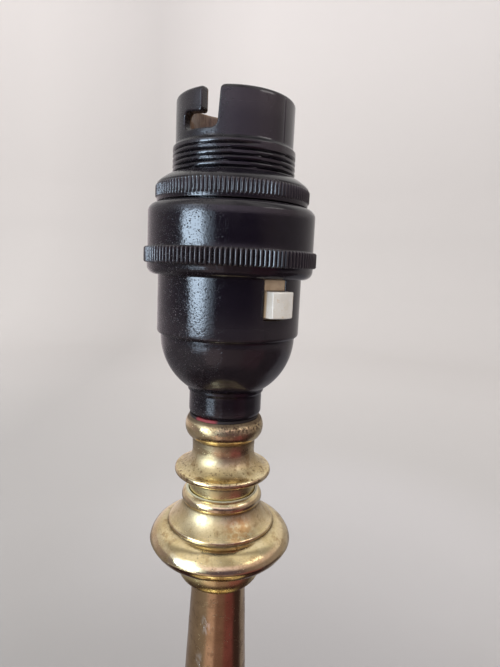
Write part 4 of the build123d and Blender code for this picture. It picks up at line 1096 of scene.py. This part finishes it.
def skirt_thread(radius, height, azimuth):
    """Radii of the skirt with its thread's groove and its mould seam cut into them."""
    left = ((math.radians(SCREW_END_AZIMUTH) - azimuth) / TURN) % 1.0
    along = (SCREW_END_Z - height) / SCREW_PITCH - left
    nearest = np.round(along)
    side = np.clip(1 - np.abs(along - nearest) * SCREW_PITCH / SCREW_HALF_W, 0, 1)
    fade = np.where(nearest < 0.5, np.clip(left / SCREW_FADE, 0, 1), 1.0)
    threaded = (nearest > -0.5) & (nearest < SCREW_TURNS) & (height > SKIRT_Z + SKIRT_FLANGE_H)
    groove = SCREW_DEPTH * side * side * (3 - 2 * side) * fade * threaded
    beside_seam = ((azimuth - math.radians(SEAM_AZIMUTH) + TURN / 2) % TURN - TURN / 2) * SKIRT_R
    seam = SEAM_DEEP * np.exp(-(beside_seam / SEAM_W) ** 2) * (height > SCREW_TOP_Z + SEAM_ABOVE)
    return radius - groove - seam


def bayonet_skirt():
    """Tube with two J slots, a rounded rim and an outside thread."""
    rim = SKIRT_TOP_Z
    flange = SKIRT_Z + SKIRT_FLANGE_H
    outer = run(
        (SKIRT_FLANGE_R, SKIRT_Z), (SKIRT_FLANGE_R, flange), (SCREW_CREST_R, flange),
        (SCREW_CREST_R, SCREW_TOP_Z), (SKIRT_R, SCREW_TOP_Z + SCREW_RUN_OUT),
        *round_head(SKIRT_R, rim, RIM_ROUND))
    outer = blurred(outer, MOULD_SOFT, False)
    outer = outer[thinned(outer, np.where(outer[:, 1] < SCREW_TOP_Z, SCREW_ROW, WALL_ROW))]
    height = outer[:, 1]
    step = np.clip((height - (rim - SOCKET_DEPTH)) / SOCKET_STEP + 0.5, 0, 1)
    crown = np.clip(height - rim + RIM_INNER_ROUND, 0, RIM_INNER_ROUND)
    lead = RIM_INNER_ROUND - np.sqrt(RIM_INNER_ROUND ** 2 - crown ** 2)
    inner = np.column_stack([between(SOCKET_R + SOCKET_RELIEF, SOCKET_R, step) + lead, height])
    lip = rim + SLOT_LIP
    above = rim + SKIRT_FLANGE_H
    floor = rim - SLOT_FLOOR
    slot = rounded(
        (2 * SLOT_RIGHT_TOP, above, 0), (2 * SLOT_RIGHT_TOP, lip, 0), (SLOT_RIGHT_TOP, lip, SLOT_SHOULDER),
        (SLOT_RIGHT_LOW, floor, SLOT_CORNER), (SLOT_LEFT, floor, SLOT_CORNER),
        (SLOT_LEFT, rim - SLOT_END_TOP, SLOT_CORNER), (SLOT_TAB, rim - SLOT_TAB_LOW, SLOT_TAB_ROUND),
        (SLOT_TAB, lip, SLOT_TAB_ROUND + SLOT_LIP), (2 * SLOT_LEFT, lip, 0), (2 * SLOT_LEFT, above, 0))
    columns = turns(SLOT_WINDOW, SLOT_TURN, SEAM_AZIMUTH - SLOT_AZIMUTH + np.array(SEAM_TURNS))
    walled("bayonet_skirt", columns, outer, inner, SKIRT_R, SLOT_WINDOW, SLOT_AZIMUTH, slot, SLOT_EDGE,
           skirt_thread)


def lower_body():
    """Cup with a neck, a domed bottom and a window on two sides for the press bar."""
    z = HOLDER_Z
    step = z + BODY_STEP_H
    across, up = DOME_SHARES
    dome = (between(DOME_FOOT_R, DOME_R, across), z + between(DOME_FOOT_H, DOME_TOP_H, up))
    outer = run(
        (NECK_R - NECK_CHAMFER, z), (NECK_R, z + NECK_CHAMFER_H), (NECK_R, z + NECK_H),
        (NECK_BEAD_R, z + NECK_H + NECK_BEAD_RISE), (NECK_BEAD_R, z + NECK_BEAD_H),
        (DOME_FOOT_R, z + DOME_FOOT_H), (dome, (DOME_R, z + DOME_TOP_H)), (DOME_R, step - BODY_STEP_LOW),
        (beside(BODY_R, step, BODY_STEP_ARC), (BODY_R, step + BODY_STEP_HIGH)), (BODY_R, BODY_TOP_Z))
    outer = blurred(outer, MOULD_SOFT, False)
    outer = outer[thinned(outer, WALL_ROW)]
    bore = BODY_R - BODY_WALL
    shelf = bore - BODY_SEAT
    throat = z + DOME_FOOT_H + BODY_FLOOR
    across, up = HOLLOW_SHARES
    hollow = (between(TUBE_R, shelf, across), between(throat, SEAT_Z, up))
    below = outer[:, 1] < SEAT_Z + WALL_ROW
    path = run(
        (TUBE_R + THREAD_CLEAR, z), (TUBE_R + THREAD_CLEAR, throat), (TUBE_R + BODY_FLOOR / 2, throat),
        (hollow, (shelf, SEAT_Z - BODY_SEAT)), (shelf, SEAT_Z), (bore, SEAT_Z))
    picks = np.linspace(0, len(path) - 1, below.sum()).round().astype(int)
    inner = np.column_stack([np.full(len(outer), bore), outer[:, 1]])
    inner[below] = path[picks]
    half = BAR_W / 2 + BAR_CLEAR
    low = BAR_Z - WINDOW_BELOW
    top = BODY_TOP_Z + BODY_WALL
    window = rounded((-half, top, 0), (-half, low, WINDOW_CORNER), (half, low, WINDOW_CORNER), (half, top, 0))
    columns = turns(BAR_WINDOW, BAR_TURN)
    walled("lower_body", columns, outer, inner, BODY_R, BAR_WINDOW, SWITCH_AZIMUTH, window, WINDOW_EDGE)


def plunger_spring(side):
    """Coil of the solid's own shape, attached to the solid's body in its place."""
    node = "plunger_spring_" + side
    coil = new_object(node + "_skin", nodes[node].data.copy())
    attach(coil, body_of[node])
    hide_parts(node)
    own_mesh(coil)


plunger_spring("live")
plunger_spring("neutral")
felt_pad()
lathe("base_collar", base_collar_outline(), COLLAR_COLUMNS, BRASS_SOFT, BRASS_DENTS, 31)
lathe("column", column_outline(), COLUMN_COLUMNS, BRASS_SOFT, BRASS_DENTS, 41)
lathe("upper_knop", upper_knop_outline(), KNOP_COLUMNS, BRASS_SOFT, BRASS_DENTS, 51,
      residue=(RIM_Z, RESIDUE_REACH))
# The nozzle's top carries grime and painted shadow from the lampholder above it
lathe("top_nozzle", top_nozzle_outline(), NOZZLE_COLUMNS, BRASS_SOFT, BRASS_DENTS, 61,
      soil_and_shadow=(NOZZLE_TOP_Z, SOIL_AND_SHADOW_REACH))
lathe("coupling_ring", coupling_ring_outline(), KNURL_COLUMNS, MOULD_SOFT,
      ribs=(COUPLING_KNURL_R, COUPLING_R, *COUPLING_BAND))
lathe("shade_ring", shade_ring_outline(), KNURL_COLUMNS, MOULD_SOFT,
      ribs=(SHADE_KNURL_R, SHADE_RING_R, *SHADE_BAND))
bayonet_skirt()
lower_body()


# Stage, in metres: a pale floor that runs up into a round wall, with soft lights outside the picture.
# Painted shade: floor tones go by the distance from the lamp, darker near it, and tints by the place across
# it.

FLOOR_INNER_R = 0.4
FLOOR_R = 1.35
WALL_BEND = 0.55
WALL_STEPS = 16
WALL_TOP = 2.4
WALL_COLUMNS = 96
FLOOR_WARMTH = (1.0, 0.962, 0.94)
FLOOR_SHADE_TONES = (
    (0.15, 0.26), (0.20, 0.285), (0.27, 0.33), (0.38, 0.375), (0.57, 0.415), (0.95, 0.495), (1.75, 0.588),
    (1.91, 0.622), (1.97, 0.675), (2.2, 0.70))
FLOOR_ACROSS = 4.0
FLOOR_SHADE_TINTS = (
    (-1.6, 1.0), (-0.7, 1.0), (-0.30, 0.84), (-0.08, 0.96), (0.10, 1.01), (0.5, 0.95), (1.2, 0.87))
FLOOR_LIGHT_POOL = (0.11, 0.30, 0.0)
FLOOR_LIGHT_POOL_SIZE = 0.28
FLOOR_LIGHT_POOL_TINT = (1.08, 1.08, 1.10)

# Room that shows in reflections: colours by azimuth in four layers over a deep one, and where each begins
ROOM_BEGINS = ((-0.86, -0.64), (-0.36, -0.20), (0.12, 0.24), (0.40, 0.56))
DEEP_ROOM = (0.030, 0.014, 0.016)
LOW_ROOM = (
    (-180, (0.30, 0.28, 0.29)), (-110, (0.22, 0.20, 0.21)), (-46, (0.28, 0.25, 0.25)),
    (-37, (0.66, 0.51, 0.52)), (-12, (0.63, 0.48, 0.50)), (-6, (0.26, 0.17, 0.17)),
    (25, (0.24, 0.155, 0.155)), (34, (0.22, 0.082, 0.100)), (64, (0.19, 0.070, 0.090)),
    (72, (0.047, 0.030, 0.035)), (104, (0.047, 0.030, 0.035)), (114, (0.28, 0.27, 0.30)),
    (180, (0.30, 0.28, 0.29)))
LEVEL_ROOM = (
    (-180, (0.86, 0.78, 0.78)), (-150, (0.72, 0.64, 0.66)), (-100, (0.30, 0.25, 0.28)),
    (-60, (0.10, 0.08, 0.10)), (-20, (0.10, 0.076, 0.120)), (30, (0.10, 0.072, 0.115)),
    (50, (0.24, 0.185, 0.210)), (100, (0.30, 0.26, 0.27)), (150, (0.46, 0.43, 0.42)),
    (180, (0.66, 0.62, 0.60)))
HIGH_ROOM = (
    (-180, (0.74, 0.71, 0.69)), (-90, (0.56, 0.54, 0.56)), (-70, (1.00, 1.06, 1.25)),
    (-42, (1.10, 1.10, 1.30)), (-15, (1.10, 0.96, 1.18)), (10, (0.88, 0.74, 0.92)),
    (60, (0.76, 0.60, 0.68)), (90, (0.58, 0.48, 0.50)), (104, (0.72, 0.66, 0.66)),
    (180, (0.74, 0.71, 0.69)))
TOP_WARMTH = (1.0, 0.975, 0.945)
TOP_TONES = (
    (-180, 0.80), (-125, 0.95), (-104, 0.40), (-88, 0.34), (-72, 0.95), (-35, 1.00), (-8, 0.78), (8, 0.45),
    (24, 0.40), (38, 0.92), (70, 0.85), (84, 0.35), (100, 0.40), (120, 0.85), (180, 0.80))

# Lights: azimuth, distance and height of each, then its width, height, power, colour and if it is mirrored
AIM = (0, 0, 0.24)
DAYLIGHT = (0.66, 0.82, 1.0)
LIGHTS = {
    "window": (-52, 0.95, 0.332, 0.46, 0.22, 4.9, DAYLIGHT),
    "window_top": (-52, 0.95, 0.53, 0.46, 0.18, 0.55, DAYLIGHT),
    "sky": (-46, 0.95, 0.72, 0.30, 0.10, 0.35, (0.92, 0.96, 1.0)),
    "window_low": (-49, 0.95, 0.166, 0.36, 0.112, 1.97, DAYLIGHT),
    "window_foot": (-46, 0.60, 0.045, 0.26, 0.06, 0.25, DAYLIGHT),
    "window_dim": (-35.8, 0.95, 0.27, 0.086, 0.32, 0.49, DAYLIGHT),
    "window_dusk": (-30.6, 0.95, 0.27, 0.086, 0.32, 0.27, DAYLIGHT),
    "window_dark": (-25.0, 0.95, 0.27, 0.100, 0.32, 0.14, DAYLIGHT),
    "fill": (-60, 1.45, 1.30, 0.9, 0.9, 15.0, (0.80, 0.90, 1.0), False),
    "side": (60, 0.95, 0.74, 0.50, 0.12, 0.6, (1.0, 0.98, 0.95)),
    "ceiling": (180, 0.2, 2.2, 2.2, 2.2, 41.0, (1.0, 0.985, 0.970), False)}


def tinted(tone, tint):
    """Colour of a tone and a tint."""
    return tuple(tone * part for part in tint)


def ramp(value, stops):
    """Colour that changes along a value from 0 to 1."""
    made = add(value.id_data, "ShaderNodeValToRGB", {"Fac": value})
    made.color_ramp.interpolation = "LINEAR"
    points = made.color_ramp.elements
    while len(points) < len(stops):
        points.new(0.5)
    for point, (at, shade) in zip(points, stops):
        point.position = at
        point.color = (*shade, 1.0)
    return made.outputs["Color"]


def studio():
    """Floor and wall in one bowl, with painted shade in its colour and a painted pool of light behind the
    lamp.
    """
    bends = [math.radians(90 * step / WALL_STEPS) for step in range(1, WALL_STEPS + 1)]
    outline = [(0.0, 0.0), (FLOOR_INNER_R, 0.0), (FLOOR_R, 0.0)]
    outline += [(FLOOR_R + WALL_BEND * math.sin(turn), WALL_BEND * (1 - math.cos(turn))) for turn in bends]
    outline.append((FLOOR_R + WALL_BEND, WALL_TOP))
    points, _ = revolved(np.array(outline), WALL_COLUMNS)
    mesh = bpy.data.meshes.new("studio")
    mesh.from_pydata(points.tolist(), [], ring_faces(len(outline), WALL_COLUMNS, False))
    mesh.shade_smooth()
    bowl = new_object("studio", mesh)
    material, shader, at = new_material("studio")
    at = stretched(at, MM, MM, MM)
    away = times(vectors("LENGTH", at), 1 / WALL_TOP)
    # Painted shade: darker near the lamp, lighter out to the wall
    painted_shade = ramp(away, [(reach / WALL_TOP, tinted(tone, FLOOR_WARMTH)) for reach, tone in FLOOR_SHADE_TONES])
    side = calc("ADD", times(axis(at, "X"), 1 / FLOOR_ACROSS), 0.5)
    # Painted shade across the floor
    tint = ramp(side, [(across / FLOOR_ACROSS + 0.5, (tone, tone, tone)) for across, tone in FLOOR_SHADE_TINTS])
    # Painted pool of light behind the lamp
    tint = blend(near(at, FLOOR_LIGHT_POOL, FLOOR_LIGHT_POOL_SIZE), tint, FLOOR_LIGHT_POOL_TINT)
    dress(shader, Base_Color=vectors("MULTIPLY", painted_shade, tint), Roughness=0.9)
    mesh.materials.append(material)
    bowl.visible_glossy = False


def area_light(name, place_m, width, height, power, tint, mirrored=True):
    """Soft light out of the camera's sight, either seen in reflections or lighting dull surfaces."""
    data = bpy.data.lights.new(name, "AREA")
    data.shape = "RECTANGLE"
    data.size = width
    data.size_y = height
    data.energy = power
    data.color = tint
    lamp = new_object(name, data)
    lamp.location = place_m
    lamp.rotation_euler = (Vector(AIM) - Vector(place_m)).to_track_quat("-Z", "Y").to_euler()
    lamp.visible_camera = False
    lamp.visible_glossy = mirrored
    lamp.visible_diffuse = not mirrored


def camera():
    """Camera with the photograph's place, heading, pitch and roll."""
    data = bpy.data.cameras.new("camera")
    data.lens = FOCAL_PIXELS / IMAGE_HEIGHT * SENSOR
    data.sensor_width = SENSOR
    data.clip_start = NEAREST_M
    data.clip_end = FARTHEST_M
    eye = new_object("camera", data)
    stance = Matrix.Translation(Vector(EYE) * MM)
    for degrees, way in ((-HEADING, "Z"), (90 - PITCH, "X"), (ROLL, "Z")):
        stance = stance @ Matrix.Rotation(math.radians(degrees), 4, way)
    eye.matrix_world = stance
    bpy.context.scene.camera = eye


def by_azimuth(turn, stops):
    """Colour by azimuth in degrees, counted to the right from the front."""
    return ramp(turn, [((azimuth + 180) / 360, shade) for azimuth, shade in stops])


def surroundings():
    """Room that the lamp reflects: pale walls, a dark side behind the camera, and brown low down."""
    world = bpy.data.worlds.new("surroundings")
    world.use_nodes = True
    tree = world.node_tree
    way = add(tree, "ShaderNodeTexCoord").outputs["Generated"]
    turn = calc("ARCTAN2", axis(way, "X"), times(axis(way, "Y"), -1.0))
    turn = calc("ADD", times(turn, 1 / TURN), 0.5)
    rise = axis(way, "Z")
    top_room = [(azimuth, tinted(tone, TOP_WARMTH)) for azimuth, tone in TOP_TONES]
    shade = DEEP_ROOM
    for begin, room in zip(ROOM_BEGINS, (LOW_ROOM, LEVEL_ROOM, HIGH_ROOM, top_room)):
        shade = blend(ease(rise, *begin), shade, by_azimuth(turn, room))
    ground = tree.nodes["Background"]
    feed(ground.inputs["Color"], shade)
    feed(ground.inputs["Strength"], 1.0)
    bpy.context.scene.world = world


studio()
for name, (azimuth, distance, height, *settings) in LIGHTS.items():
    area_light(name, polar(azimuth, distance, height), *settings)
surroundings()
camera()

bpy.context.scene.view_settings.view_transform = "Standard"
